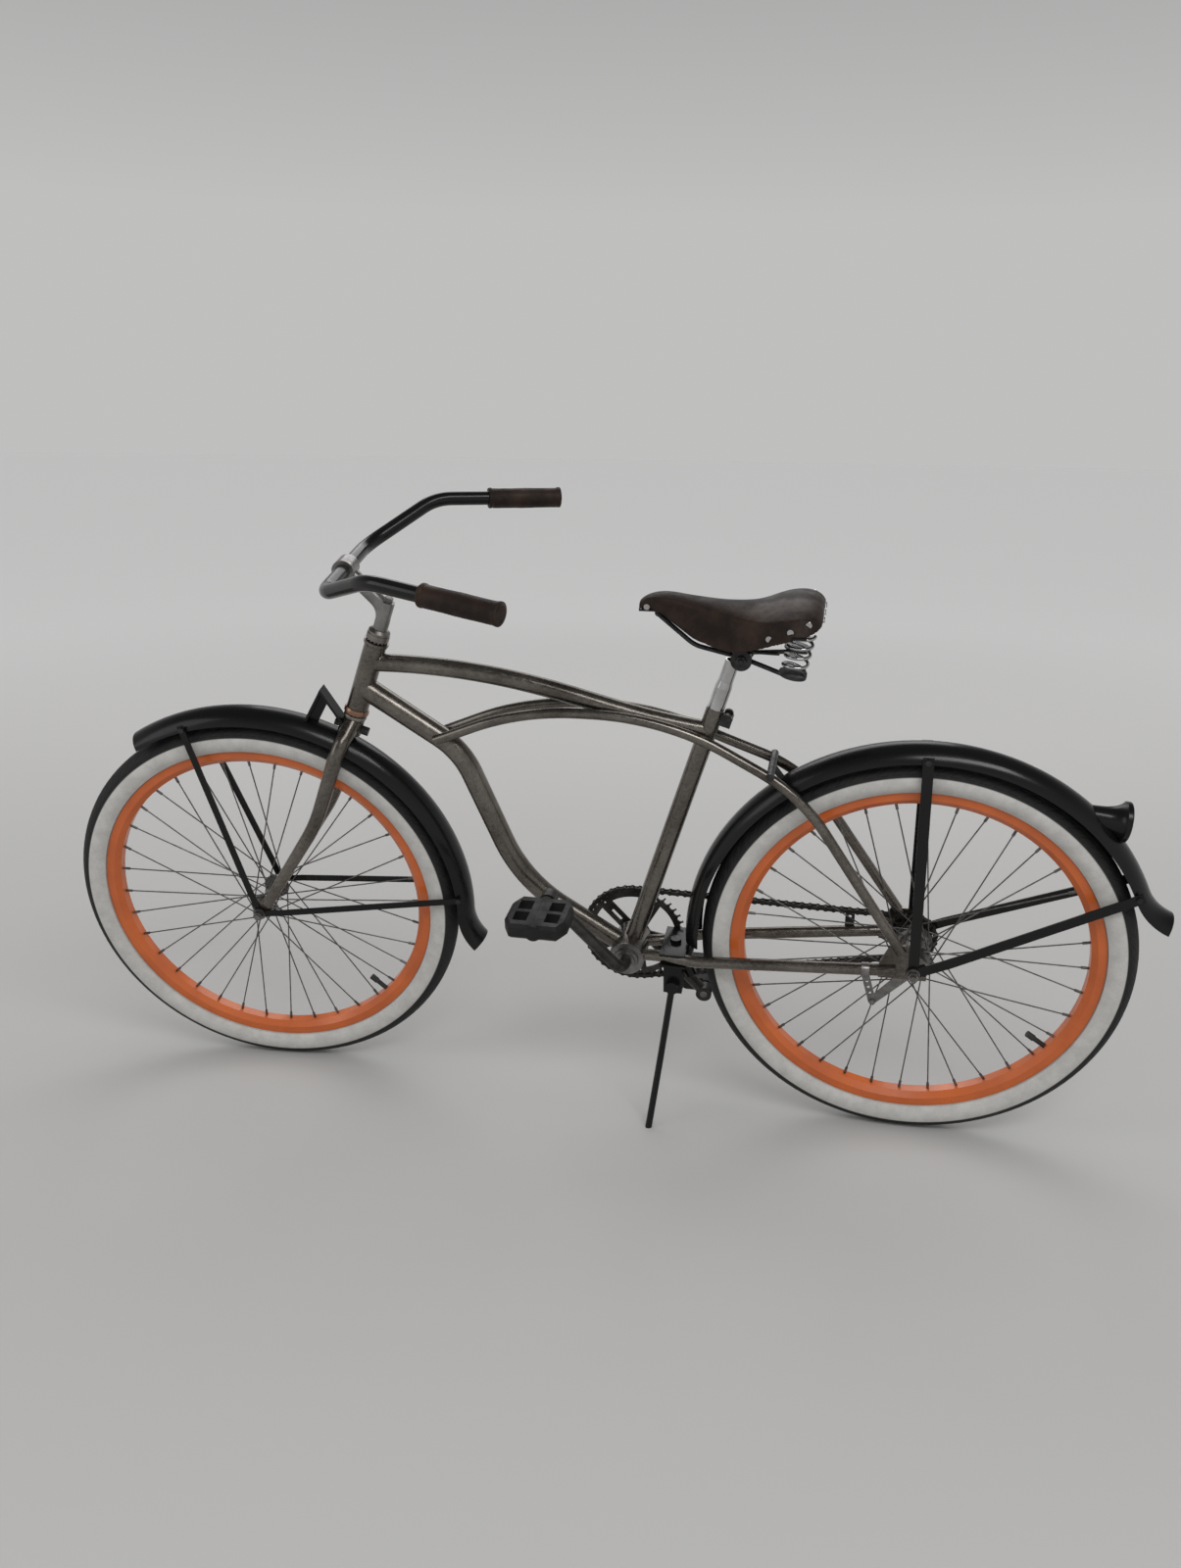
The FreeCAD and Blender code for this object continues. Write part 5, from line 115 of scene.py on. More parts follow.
class CruiserStage(bpy.types.PropertyGroup):
    floor_colour: colour_property("Floor", "Pale floor under the part", (0.47, 0.465, 0.455))
    # Painted light: the far floor colour is lighter to make up for the lamps' light, which falls off away
    # from the middle
    floor_far_painted_light: colour_property("Floor, far", "Where the floor meets the backdrop", (0.88, 0.875, 0.87))
    backdrop_low: colour_property("Backdrop, low", "Seen just above the floor", (0.524, 0.522, 0.518))
    backdrop_high: colour_property("Backdrop, high", "Seen overhead", (0.09, 0.09, 0.092))
    floor_radius: length_property("Floor radius", "Half width of the floor", 60.0)
    sky_strength: bpy.props.FloatProperty(
        name="Sky strength", description="Even light from all round", default=0.62, min=0)
    key_power: bpy.props.FloatProperty(
        name="Key power", description="Large lamp above the left side", default=62.0, min=0, unit="POWER")
    fill_power: bpy.props.FloatProperty(
        name="Fill power", description="Soft lamp at the front", default=11.0, min=0, unit="POWER")
    back_power: bpy.props.FloatProperty(
        name="Back power", description="Soft lamp behind", default=30.0, min=0, unit="POWER")
    focal_pixels: bpy.props.FloatProperty(
        name="Focal length", description="In pixels of the photograph's frame", default=1300.0, min=1)


# Node helpers

def start_material(name):
    """An empty node material with its shader."""
    material = bpy.data.materials.new(name)
    material.use_nodes = True
    tree = material.node_tree
    shader = tree.nodes["Principled BSDF"]
    return material, tree, shader


def place_vector(tree):
    """Coordinates that stay with the piece when it moves."""
    return tree.nodes.new("ShaderNodeTexCoord").outputs["Object"]


def math_node(tree, operation, first, second=None):
    """One sum of two values or sockets."""
    node = tree.nodes.new("ShaderNodeMath")
    node.operation = operation
    for socket, value in zip(node.inputs, (first, second)):
        if value is None:
            continue
        if isinstance(value, (int, float)):
            socket.default_value = value
        else:
            tree.links.new(value, socket)
    return node.outputs[0]


def vector_node(tree, operation, first, second=None):
    """One sum of a vector socket and a constant vector."""
    node = tree.nodes.new("ShaderNodeVectorMath")
    node.operation = operation
    tree.links.new(first, node.inputs[0])
    if second is not None:
        node.inputs[1].default_value = second
    scalar = operation in ("DOT_PRODUCT", "LENGTH")
    return node.outputs["Value" if scalar else "Vector"]


def noise_value(tree, vector, scale, detail=4.0, roughness=0.55):
    """Cloudy noise from 0 to 1."""
    node = tree.nodes.new("ShaderNodeTexNoise")
    node.inputs["Scale"].default_value = scale
    node.inputs["Detail"].default_value = detail
    node.inputs["Roughness"].default_value = roughness
    tree.links.new(vector, node.inputs["Vector"])
    return node.outputs["Fac"]


def cell_value(tree, vector, scale):
    """Distance to the nearest cell edge, for leather grain."""
    node = tree.nodes.new("ShaderNodeTexVoronoi")
    node.feature = "DISTANCE_TO_EDGE"
    node.inputs["Scale"].default_value = scale
    tree.links.new(vector, node.inputs["Vector"])
    return node.outputs["Distance"]


def mapped(tree, value, from_range, to_range):
    """A value carried from one range to another, with smooth ends."""
    node = tree.nodes.new("ShaderNodeMapRange")
    node.interpolation_type = "SMOOTHSTEP"
    tree.links.new(value, node.inputs["Value"])
    for name, number in zip(("From Min", "From Max", "To Min", "To Max"), (*from_range, *to_range)):
        node.inputs[name].default_value = number
    return node.outputs["Result"]


def ramp(tree, factor, from_range, first, second):
    """Colour from first to second while factor goes through a range."""
    node = tree.nodes.new("ShaderNodeValToRGB")
    points = node.color_ramp.elements
    for point, position, colour in zip(points, from_range, (first, second)):
        point.position = position
        point.color = (*colour, 1)
    tree.links.new(factor, node.inputs["Fac"])
    return node.outputs["Color"]


def blended(tree, first, second, first_share):
    """Two values added in shares that make up one."""
    return math_node(tree, "ADD", math_node(tree, "MULTIPLY", first, first_share),
                     math_node(tree, "MULTIPLY", second, 1 - first_share))


def mixed(tree, factor, first, second):
    """The first colour where factor is 0, and the second where it is 1."""
    node = tree.nodes.new("ShaderNodeMix")
    node.data_type = "RGBA"
    tree.links.new(factor, node.inputs["Factor"])
    for name, colour in (("A", first), ("B", second)):
        socket = [item for item in node.inputs if item.name == name and item.type == "RGBA"][0]
        tree.links.new(colour, socket)
    return [item for item in node.outputs if item.type == "RGBA"][0]


def add_bump(tree, shader, height, strength, distance):
    """Fine relief from a height."""
    node = tree.nodes.new("ShaderNodeBump")
    node.inputs["Strength"].default_value = strength
    node.inputs["Distance"].default_value = distance
    tree.links.new(height, node.inputs["Height"])
    tree.links.new(node.outputs["Normal"], shader.inputs["Normal"])


def set_sockets(shader, **values):
    """Constants for the shader's sockets, named in small letters."""
    for name, value in values.items():
        shader.inputs[name.replace("_", " ").title().replace("Ior", "IOR")].default_value = value


FULL_RANGE = (0.0, 1.0)
FALLING_RANGE = (1.0, 0.0)
WORN_MOTTLE_SHARE = 0.7
# Parts of the noise over which the colour and the gloss change
WORN_COLOUR_RANGE = (0.35, 0.65)
WORN_GLOSS_RANGE = (0.3, 0.7)
WORN_RELIEF_STRENGTH = 0.25


def worn_finish(name, light, dark, mottle, grain, rough, relief, **sockets):
    """A surface with broad mottling in its colour and fine grain in its gloss and relief.

    The light places have the first roughness and the dark ones the second.
    """
    material, tree, shader = start_material(name)
    place = place_vector(tree)
    broad = noise_value(tree, place, mottle)
    fine = noise_value(tree, place, grain, detail=6.0, roughness=0.6)
    both = blended(tree, broad, fine, WORN_MOTTLE_SHARE)
    tree.links.new(ramp(tree, both, WORN_COLOUR_RANGE, dark, light), shader.inputs["Base Color"])
    tree.links.new(mapped(tree, both, WORN_GLOSS_RANGE, tuple(reversed(rough))), shader.inputs["Roughness"])
    add_bump(tree, shader, fine, WORN_RELIEF_STRENGTH, relief)
    set_sockets(shader, **sockets)
    return material


def dress(material, *names):
    """Give the named nodes a finish."""
    for name in names:
        for slot in frame["nodes"][name].material_slots:
            slot.material = material


# Finishes

STREAK_STRETCH = (40.0, 260.0, 60.0)
STAIN_SHARE = 0.65
STEEL_COLOUR_RANGE = (0.36, 0.62)
STEEL_GLOSS_RANGE = (0.25, 0.75)
STEEL_ROUGHNESS = (0.17, 0.34)
COPPER_STAIN_RANGE = (0.3, 0.7)


def brushed_steel(name, light, dark, low_z=None, low_colour=None):
    """Bare tube steel: long brushed streaks, heat stains and a thin lacquer.

    Below the height low_z, if there is one, it takes the low colour.
    """
    material, tree, shader = start_material(name)
    place = place_vector(tree)
    stains = noise_value(tree, place, scale=9.0, detail=5.0, roughness=0.6)
    stretched = vector_node(tree, "MULTIPLY", place, STREAK_STRETCH)
    streaks = noise_value(tree, stretched, scale=3.0, detail=3.0, roughness=0.7)
    tone = blended(tree, stains, streaks, STAIN_SHARE)
    colour = ramp(tree, tone, STEEL_COLOUR_RANGE, dark, light)
    if low_z is not None:
        height = tree.nodes.new("ShaderNodeSeparateXYZ")
        tree.links.new(place, height.inputs[0])
        lower = mapped(tree, height.outputs["Z"], (low_z, low_z + MILLIMETRE), FALLING_RANGE)
        colour = mixed(tree, lower, colour, ramp(tree, stains, COPPER_STAIN_RANGE, low_colour, light))
    tree.links.new(colour, shader.inputs["Base Color"])
    tree.links.new(mapped(tree, streaks, STEEL_GLOSS_RANGE, STEEL_ROUGHNESS), shader.inputs["Roughness"])
    add_bump(tree, shader, streaks, strength=0.04, distance=0.0002)
    set_sockets(shader, metallic=0.92, coat_weight=0.25, coat_roughness=0.22)
    return material


def black_enamel(name, finish):
    """Gloss black paint, a little dusty."""
    return worn_finish(name, finish.black_worn, finish.black, mottle=7.0, grain=420.0, rough=(0.16, 0.34),
                       relief=0.00025, coat_weight=0.16, coat_roughness=0.10, specular_ior_level=0.22)


def chrome_finish(name):
    """Polished plating with a few dull spots."""
    return worn_finish(name, light=(0.56, 0.56, 0.57), dark=(0.40, 0.395, 0.39), mottle=30.0, grain=900.0,
                       rough=(0.05, 0.14), relief=0.00008, metallic=1.0)


PORE_SCALE = 2.2
PATCH_SHARE = 0.8
CELL_SHARE = 0.6
CELL_EDGE = 0.16
LEATHER_COLOUR_RANGE = (0.42, 0.68)
LEATHER_GLOSS_RANGE = (0.35, 0.70)
LEATHER_ROUGHNESS = (0.62, 0.36)


def leather_finish(name, finish, grain):
    """Dark leather: pebbled grain, pores and rubbed lighter patches that shine a little more."""
    material, tree, shader = start_material(name)
    place = place_vector(tree)
    patches = noise_value(tree, place, scale=21.0, detail=6.0, roughness=0.62)
    pores = noise_value(tree, place, scale=grain * PORE_SCALE, detail=3.0, roughness=0.6)
    cells = mapped(tree, cell_value(tree, place, grain), (0.0, CELL_EDGE), FULL_RANGE)
    tone = blended(tree, patches, pores, PATCH_SHARE)
    colour = ramp(tree, tone, LEATHER_COLOUR_RANGE, finish.leather, finish.leather_worn)
    tree.links.new(colour, shader.inputs["Base Color"])
    tree.links.new(mapped(tree, tone, LEATHER_GLOSS_RANGE, LEATHER_ROUGHNESS), shader.inputs["Roughness"])
    relief = blended(tree, cells, pores, CELL_SHARE)
    add_bump(tree, shader, relief, strength=0.45, distance=0.0006)
    set_sockets(shader, specular_ior_level=0.24)
    return material


def joint_named(joints, name):
    """The joint of that name in a list of joints."""
    return next(joint for joint in joints if joint["name"] == name)


def wheel_coordinates(tree, joint_name):
    """Radius, distance from the middle plane and angle about a wheel's axle."""
    joint = joint_named(frame["joints"], joint_name)
    axis = Vector(joint["axis"]).normalized()
    up = Vector((0, 0, 1))
    first = (up - axis * up.dot(axis)).normalized()
    second = axis.cross(first)
    spot = vector_node(tree, "SUBTRACT", place_vector(tree), joint["pos_m"])
    across = vector_node(tree, "DOT_PRODUCT", spot, axis)
    along_first = vector_node(tree, "DOT_PRODUCT", spot, first)
    along_second = vector_node(tree, "DOT_PRODUCT", spot, second)
    square = math_node(tree, "ADD", math_node(tree, "MULTIPLY", along_first, along_first),
                       math_node(tree, "MULTIPLY", along_second, along_second))
    radius = math_node(tree, "SQRT", square)
    angle = math_node(tree, "ARCTAN2", along_first, along_second)
    return radius, math_node(tree, "ABSOLUTE", across), angle


TREAD_BLOCKS = 96
TREAD_SLANT = 220.0
TREAD_START = 0.316
TREAD_EDGE = 0.003
CHANNEL_PITCH = 0.009
SCUFF_SHARE = 0.75
SPECK_RELIEF_SHARE = 0.12
WALL_DIRT_RANGE = (0.40, 0.66)
TREAD_DUST_RANGE = (0.45, 0.75)
TYRE_GLOSS_RANGE = (0.3, 0.7)
TYRE_ROUGHNESS = (0.55, 0.80)
# Parts of the sine waves that make the slanted grooves and the channels round the tread
GROOVE_RANGE = (-0.75, -0.45)
CHANNEL_RANGE = (-0.9, -0.6)


def tyre_finish(name, joint_name, finish, sizes):
    """Black tread with slanted blocks, and a scuffed white wall on each side."""
    material, tree, shader = start_material(name)
    place = place_vector(tree)
    radius, across, angle = wheel_coordinates(tree, joint_name)
    edge = sizes.white_wall_edge
    start = sizes.white_wall_start
    end = sizes.white_wall_end
    inside = mapped(tree, radius, (start - edge, start + edge), FULL_RANGE)
    outside = mapped(tree, radius, (end - edge, end + edge), FALLING_RANGE)
    white = math_node(tree, "MULTIPLY", inside, outside)
    scuffs = noise_value(tree, place, scale=38.0, detail=8.0, roughness=0.68)
    specks = noise_value(tree, place, scale=420.0, detail=3.0, roughness=0.6)
    dirt = blended(tree, scuffs, specks, SCUFF_SHARE)
    pale = ramp(tree, dirt, WALL_DIRT_RANGE, finish.white_wall, finish.white_wall_dirt)
    black = ramp(tree, dirt, TREAD_DUST_RANGE, finish.tread, finish.tread_dust)
    tree.links.new(mixed(tree, white, black, pale), shader.inputs["Base Color"])
    tree.links.new(mapped(tree, dirt, TYRE_GLOSS_RANGE, TYRE_ROUGHNESS), shader.inputs["Roughness"])
    turn = math_node(tree, "ADD", math_node(tree, "MULTIPLY", angle, float(TREAD_BLOCKS)),
                     math_node(tree, "MULTIPLY", across, TREAD_SLANT * FULL_TURN / 2))
    grooves = mapped(tree, math_node(tree, "SINE", turn), GROOVE_RANGE, FULL_RANGE)
    bands = math_node(tree, "SINE", math_node(tree, "MULTIPLY", across, FULL_TURN / CHANNEL_PITCH))
    channels = mapped(tree, bands, CHANNEL_RANGE, FULL_RANGE)
    blocks = math_node(tree, "MULTIPLY", grooves, channels)
    tread = mapped(tree, radius, (TREAD_START, TREAD_START + TREAD_EDGE), FULL_RANGE)
    relief = math_node(tree, "MULTIPLY", blocks, tread)
    fine = math_node(tree, "ADD", relief, math_node(tree, "MULTIPLY", specks, SPECK_RELIEF_SHARE))
    add_bump(tree, shader, fine, strength=0.8, distance=0.0016)
    set_sockets(shader, specular_ior_level=0.35)
    return material


LENS_RIB_SCALE = 110.0
LENS_COLOUR_RANGE = (0.2, 0.8)
LENS_ROUGHNESS = (0.10, 0.22)


def lens_finish(name, finish):
    """Red moulded lens with fine ribs."""
    material, tree, shader = start_material(name)
    wave = tree.nodes.new("ShaderNodeTexWave")
    wave.inputs["Scale"].default_value = LENS_RIB_SCALE
    tree.links.new(place_vector(tree), wave.inputs["Vector"])
    ribs = wave.outputs["Fac"]
    colour = ramp(tree, ribs, LENS_COLOUR_RANGE, finish.lens, finish.lens_light)
    tree.links.new(colour, shader.inputs["Base Color"])
    tree.links.new(mapped(tree, ribs, FULL_RANGE, LENS_ROUGHNESS), shader.inputs["Roughness"])
    add_bump(tree, shader, ribs, strength=0.4, distance=0.0008)
    set_sockets(shader, coat_weight=0.5, coat_roughness=0.05)
    return material


# Pieces that are modelled here

def new_piece(name, mesh, material, body, slot_name, *replaced):
    """A modelled piece in the shared frame, riding on a body in place of solid nodes."""
    piece = bpy.data.objects.new(name, mesh)
    bpy.context.scene.collection.objects.link(piece)
    mesh.materials.clear()
    mesh.materials.append(material)
    mesh.shade_smooth()
    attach(piece, body)
    if replaced:
        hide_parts(*replaced)
    return piece


def applied(piece):
    """Bake a piece's modifiers into its mesh."""
    graph = bpy.context.evaluated_depsgraph_get()
    baked = bpy.data.meshes.new_from_object(piece.evaluated_get(graph))
    piece.modifiers.clear()
    old = piece.data
    piece.data = baked
    bpy.data.meshes.remove(old)


SADDLE_SMOOTH_STEPS = 14
SADDLE_SMOOTH_SHARE = 0.5
SADDLE_WAVE_SCALE = 26.0


def saddle_cover(sizes):
    """The leather top: the shell's form, softened at its edges and waved by use."""
    source = frame["nodes"]["saddle_leather"].data.copy()
    shape = bpy.data.objects.new("saddle_cover_shape", source)
    bpy.context.scene.collection.objects.link(shape)
    remesh = shape.modifiers.new("Even mesh", "REMESH")
    remesh.mode = "VOXEL"
    remesh.voxel_size = sizes.leather_voxel
    soften = shape.modifiers.new("Soft edges", "SMOOTH")
    soften.factor = SADDLE_SMOOTH_SHARE
    soften.iterations = SADDLE_SMOOTH_STEPS
    applied(shape)
    mesh = shape.data
    moved = []
    for vertex in mesh.vertices:
        wave = noise.noise(vertex.co * SADDLE_WAVE_SCALE) * sizes.leather_wave
        moved.append(vertex.co + vertex.normal * (wave - sizes.leather_inset))
    for vertex, spot in zip(mesh.vertices, moved):
        vertex.co = spot
    bpy.data.objects.remove(shape)
    return mesh


def grip_axis(side):
    """Inner end, outward direction and length of the grip on one side."""
    points = np.array([vertex.co for vertex in frame["nodes"]["handlebar_grips"].data.vertices])
    middle = points[:, 1].mean()
    chosen = points[(points[:, 1] - middle) * side > 0]
    centre = chosen.mean(axis=0)
    _, _, directions = np.linalg.svd(chosen - centre)
    way = Vector(directions[0])
    if way.x > 0:
        way = -way
    reach = (chosen - centre) @ np.array(way)
    across = chosen - centre - np.outer(reach, np.array(way))
    offset = Vector((across.max(axis=0) + across.min(axis=0)) / 2)
    start = Vector(centre) + offset + way * float(reach.min())
    return start, way, float(reach.max() - reach.min())


# Grip outline from the bar's side to the end: share of the length, and radius in millimetres
GRIP_OUTLINE = ((0.0, 11.4), (0.0, 15.6), (0.008, 16.6), (0.03, 16.8), (0.044, 16.4), (0.056, 15.5),
                (0.25, 15.35), (0.50, 15.75), (0.75, 15.35), (0.93, 15.5), (0.953, 16.3), (0.968, 16.8),
                (0.988, 16.7), (0.998, 15.6), (1.0, 12.0), (1.0, 0.6))
GRIP_RINGS = 96
GRIP_SIDES = 64
# Shares of the length between which the leather has its seam and its waves
COVER_START_SHARE = 0.06
COVER_END_SHARE = 0.94
SEAM_WIDTH = 0.16
GRIP_WAVE = 0.00025
GRIP_WAVE_LENGTH = 0.02
GRIP_WAVE_SCALE = 1.7


def outline_radius(share):
    """Radius of the grip at a share of its length."""
    for (first, low), (second, high) in zip(GRIP_OUTLINE[1:-2], GRIP_OUTLINE[2:-1]):
        if first <= share <= second and second > first:
            blend = (share - first) / (second - first)
            smooth = blend * blend * (3 - 2 * blend)
            return (low + (high - low) * smooth) * MILLIMETRE
    return GRIP_OUTLINE[-3][1] * MILLIMETRE


def grip_frame(side):
    """A matrix at the grip's inner end, with z outward and x towards the seam underneath."""
    start, way, length = grip_axis(side)
    down = Vector((0, 0, -1))
    below = (down - way * down.dot(way)).normalized()
    turned = Matrix((below, way.cross(below), way)).transposed().to_4x4()
    return Matrix.Translation(start) @ turned, length


def skin_rings(shape, rings):
    """Faces between rings of the same count, and over both ends."""
    for low, high in zip(rings[:-1], rings[1:]):
        for step in range(len(low)):
            following = (step + 1) % len(low)
            shape.faces.new((low[step], low[following], high[following], high[step]))
    shape.faces.new(list(rings[-1]))
    shape.faces.new(list(reversed(rings[0])))


def placed_mesh(name, shape, place):
    """A shape's mesh, with its faces turned outward, moved to its place."""
    bmesh.ops.recalc_face_normals(shape, faces=shape.faces)
    mesh = bpy.data.meshes.new(name)
    shape.to_mesh(mesh)
    shape.free()
    mesh.transform(place)
    return mesh


def grip_mesh(side, sizes):
    """A leather sleeve with rolled ends, a closed cap and a folded seam along its underside."""
    place, length = grip_frame(side)
    shape = bmesh.new()
    rings = []
    shares = [step / GRIP_RINGS for step in range(GRIP_RINGS + 1)]
    mouth = GRIP_OUTLINE[0]
    cap = GRIP_OUTLINE[-2:]
    ends = [(share, radius * MILLIMETRE) for share, radius in (mouth, *cap)]
    outline = [ends[0], *[(share, outline_radius(share)) for share in shares], *ends[1:]]
    for share, radius in outline:
        ring = []
        for step in range(GRIP_SIDES):
            angle = FULL_TURN * step / GRIP_SIDES
            away = min(angle, FULL_TURN - angle)
            ridge = math.exp(-(away / SEAM_WIDTH) ** 2) * sizes.seam_ridge
            covered = COVER_START_SHARE < share < COVER_END_SHARE
            spot = Vector((math.cos(angle), math.sin(angle), share * length / GRIP_WAVE_LENGTH))
            shifted = spot * GRIP_WAVE_SCALE + Vector((side, 0, 0))
            wave = noise.noise(shifted) * GRIP_WAVE if covered else 0
            full = radius + wave + (ridge if covered else 0)
            ring.append(shape.verts.new((full * math.cos(angle), full * math.sin(angle), share * length)))
        rings.append(ring)
    skin_rings(shape, rings)
    return placed_mesh("grip_sleeve", shape, place)


STITCH_SIDES = 8
STITCH_STEPS = 6
STITCH_ANGLE = 0.30
# Shares of the grip's length before the first stitch and under the whole row, and of the pitch in one stitch
STITCH_START_SHARE = 0.07
STITCH_ROW_SHARE = 0.86
STITCH_LENGTH_SHARE = 0.72
# How far a stitch rises in its middle and sinks at its ends, in thread radii
STITCH_RISE = 1.4
STITCH_SINK = 0.6


def stitch_mesh(side, sizes):
    """Two rows of short thread stitches, one on each side of the seam."""
    place, length = grip_frame(side)
    shape = bmesh.new()
    count = int(length * STITCH_ROW_SHARE / sizes.stitch_pitch)
    ridge = sizes.seam_ridge * math.exp(-(STITCH_ANGLE / SEAM_WIDTH) ** 2)
    for row in (-1, 1):
        for index in range(count):
            middle = length * STITCH_START_SHARE + (index + 1 / 2) * sizes.stitch_pitch
            rings = []
            for step in range(STITCH_STEPS + 1):
                share = step / STITCH_STEPS
                along = middle + (share - 1 / 2) * sizes.stitch_pitch * STITCH_LENGTH_SHARE
                arc = math.sin(share * math.pi)
                base = outline_radius(along / length) + ridge
                height = base + sizes.stitch_radius * (arc * STITCH_RISE - STITCH_SINK)
                ring = []
                for turn in range(STITCH_SIDES):
                    angle = FULL_TURN * turn / STITCH_SIDES
                    out = height + sizes.stitch_radius * math.cos(angle)
                    swing = row * STITCH_ANGLE + sizes.stitch_radius * math.sin(angle) / base
                    ring.append(shape.verts.new((out * math.cos(swing), out * math.sin(swing), along)))
                rings.append(ring)
            skin_rings(shape, rings)
    return placed_mesh("grip_stitches", shape, place)


# Operators

def finish_of(context):
    return context.scene.cruiser_finish


def sizes_of(context):
    return context.scene.cruiser_sizes


class CRUISER_OT_frame_tubes(bpy.types.Operator):
    """Finish the bare steel frame and fork"""
    bl_idname = "cruiser.frame_tubes"
    bl_label = "Frame and fork"

    def execute(self, context):
        finish = finish_of(context)
        steel = brushed_steel("bare_tube_steel", finish.steel_light, finish.steel_dark)
        dress(steel, "head_tube", "top_tube", "down_tube", "seat_tube", "bottom_bracket_shell", "arch_stays",
              "chain_stays", "fork_crown", "fork_blades")
        return {"FINISHED"}


class CRUISER_OT_headset(bpy.types.Operator):
    """Finish the steering bearings, with a copper-coloured lower cup"""
    bl_idname = "cruiser.headset"
    bl_label = "Headset"

    def execute(self, context):
        finish = finish_of(context)
        low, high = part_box("headset_cups")
        cups = brushed_steel("headset_cup_metal", finish.steel_light, finish.steel_dark, (low.z + high.z) / 2,
                             finish.copper)
        dress(cups, "headset_cups")
        races = worn_finish("race_steel", light=(0.30, 0.28, 0.26), dark=(0.16, 0.15, 0.14), mottle=60.0,
                            grain=700.0, rough=(0.26, 0.45), relief=0.0001, metallic=1.0)
        dress(races, "headset_races", "steering_bearing_balls", "frame_bearing_balls")
        return {"FINISHED"}


class CRUISER_OT_paintwork(bpy.types.Operator):
    """Finish the black and orange painted pieces"""
    bl_idname = "cruiser.paintwork"
    bl_label = "Paintwork"

    def execute(self, context):
        finish = finish_of(context)
        dress(black_enamel("fender_black", finish), "front_fender", "rear_fender", "front_fender_stays",
              "rear_fender_stays", "front_fender_bracket", "tail_lamp_housing")
        dress(black_enamel("bar_black", finish), "handlebar", "kickstand_bracket", "kickstand_leg",
              "saddle_frame")
        rim = worn_finish("rim_orange", finish.rim, finish.rim_shade, mottle=14.0, grain=500.0,
                          rough=(0.26, 0.42), relief=0.00015, coat_weight=0.35, coat_roughness=0.18)
        dress(rim, "front_rim", "rear_rim")
        dress(lens_finish("lamp_lens_red", finish), "tail_lamp_lens")
        return {"FINISHED"}


class CRUISER_OT_brightwork(bpy.types.Operator):
    """Finish the chromed, plated, blackened and alloy pieces"""
    bl_idname = "cruiser.brightwork"
    bl_label = "Brightwork"

    def execute(self, context):
        dress(chrome_finish("polished_chrome"), "seat_post", "saddle_rivets")
        alloy = worn_finish("satin_alloy", light=(0.30, 0.295, 0.285), dark=(0.18, 0.177, 0.17), mottle=45.0,
                            grain=800.0, rough=(0.26, 0.42), relief=0.00015, metallic=1.0)
        dress(alloy, "stem")
        plated = worn_finish("plated_steel", light=(0.30, 0.29, 0.28), dark=(0.15, 0.145, 0.14), mottle=70.0,
                             grain=800.0, rough=(0.28, 0.50), relief=0.0001, metallic=1.0)
        dress(plated, "bottom_bracket_cups", "rear_axle_set", "front_axle_set", "front_hub", "rear_hub",
              "crank_cones", "pedal_spindles", "stem_bolts", "brake_arm", "brake_arm_strap")
        wire = worn_finish("spoke_wire", light=(0.20, 0.195, 0.19), dark=(0.09, 0.088, 0.085), mottle=90.0,
                           grain=900.0, rough=(0.32, 0.55), relief=0.0001, metallic=0.9)
        dress(wire, "front_spokes", "rear_spokes")
        screws = worn_finish("blackened_screws", light=(0.06, 0.06, 0.06), dark=(0.02, 0.02, 0.02),
                             mottle=90.0, grain=900.0, rough=(0.30, 0.50), relief=0.0001, metallic=0.8)
        dress(screws, "front_fender_bolts", "rear_fender_bolts", "saddle_undercarriage", "saddle_clamp",
              "seat_binder", "frame_bridges")
        return {"FINISHED"}


class CRUISER_OT_drive(bpy.types.Operator):
    """Finish the crank, chain, sprockets and pedals"""
    bl_idname = "cruiser.drive"
    bl_label = "Drive"

    def execute(self, context):
        oily = worn_finish("oily_black_steel", light=(0.075, 0.072, 0.068), dark=(0.022, 0.021, 0.020),
                           mottle=55.0, grain=700.0, rough=(0.28, 0.55), relief=0.0002, metallic=0.75)
        dress(oily, "crank", "chainring", "rear_sprocket")
        links = worn_finish("oily_chain", light=(0.060, 0.055, 0.050), dark=(0.016, 0.015, 0.014),
                            mottle=160.0, grain=900.0, rough=(0.30, 0.60), relief=0.0002, metallic=0.8)
        dress(links, "chain")
        resin = worn_finish("pedal_resin", light=(0.014, 0.014, 0.014), dark=(0.006, 0.006, 0.006),
                            mottle=40.0, grain=900.0, rough=(0.42, 0.65), relief=0.0004,
                            specular_ior_level=0.3)
        dress(resin, "left_pedal", "right_pedal")
        return {"FINISHED"}


class CRUISER_OT_tyres(bpy.types.Operator):
    """Finish the white wall tyres and the inner tubes with their valves"""
    bl_idname = "cruiser.tyres"
    bl_label = "Tyres"

    def execute(self, context):
        finish = finish_of(context)
        sizes = sizes_of(context)
        dress(tyre_finish("front_white_wall", "front_wheel_spin", finish, sizes), "front_tyre")
        dress(tyre_finish("rear_white_wall", "rear_wheel_spin", finish, sizes), "rear_tyre")
        rubber = worn_finish("tube_rubber", light=(0.030, 0.030, 0.030), dark=(0.012, 0.012, 0.012),
                             mottle=60.0, grain=700.0, rough=(0.50, 0.75), relief=0.0003)
        dress(rubber, "front_inner_tube", "rear_inner_tube")
        return {"FINISHED"}


class CRUISER_OT_saddle(bpy.types.Operator):
    """Make the leather saddle cover"""
    bl_idname = "cruiser.saddle"
    bl_label = "Saddle cover"

    def execute(self, context):
        leather = leather_finish("saddle_leather_brown", finish_of(context), grain=330.0)
        mesh = saddle_cover(sizes_of(context))
        new_piece("saddle_cover", mesh, leather, "saddle", "leather", "saddle_leather")
        return {"FINISHED"}


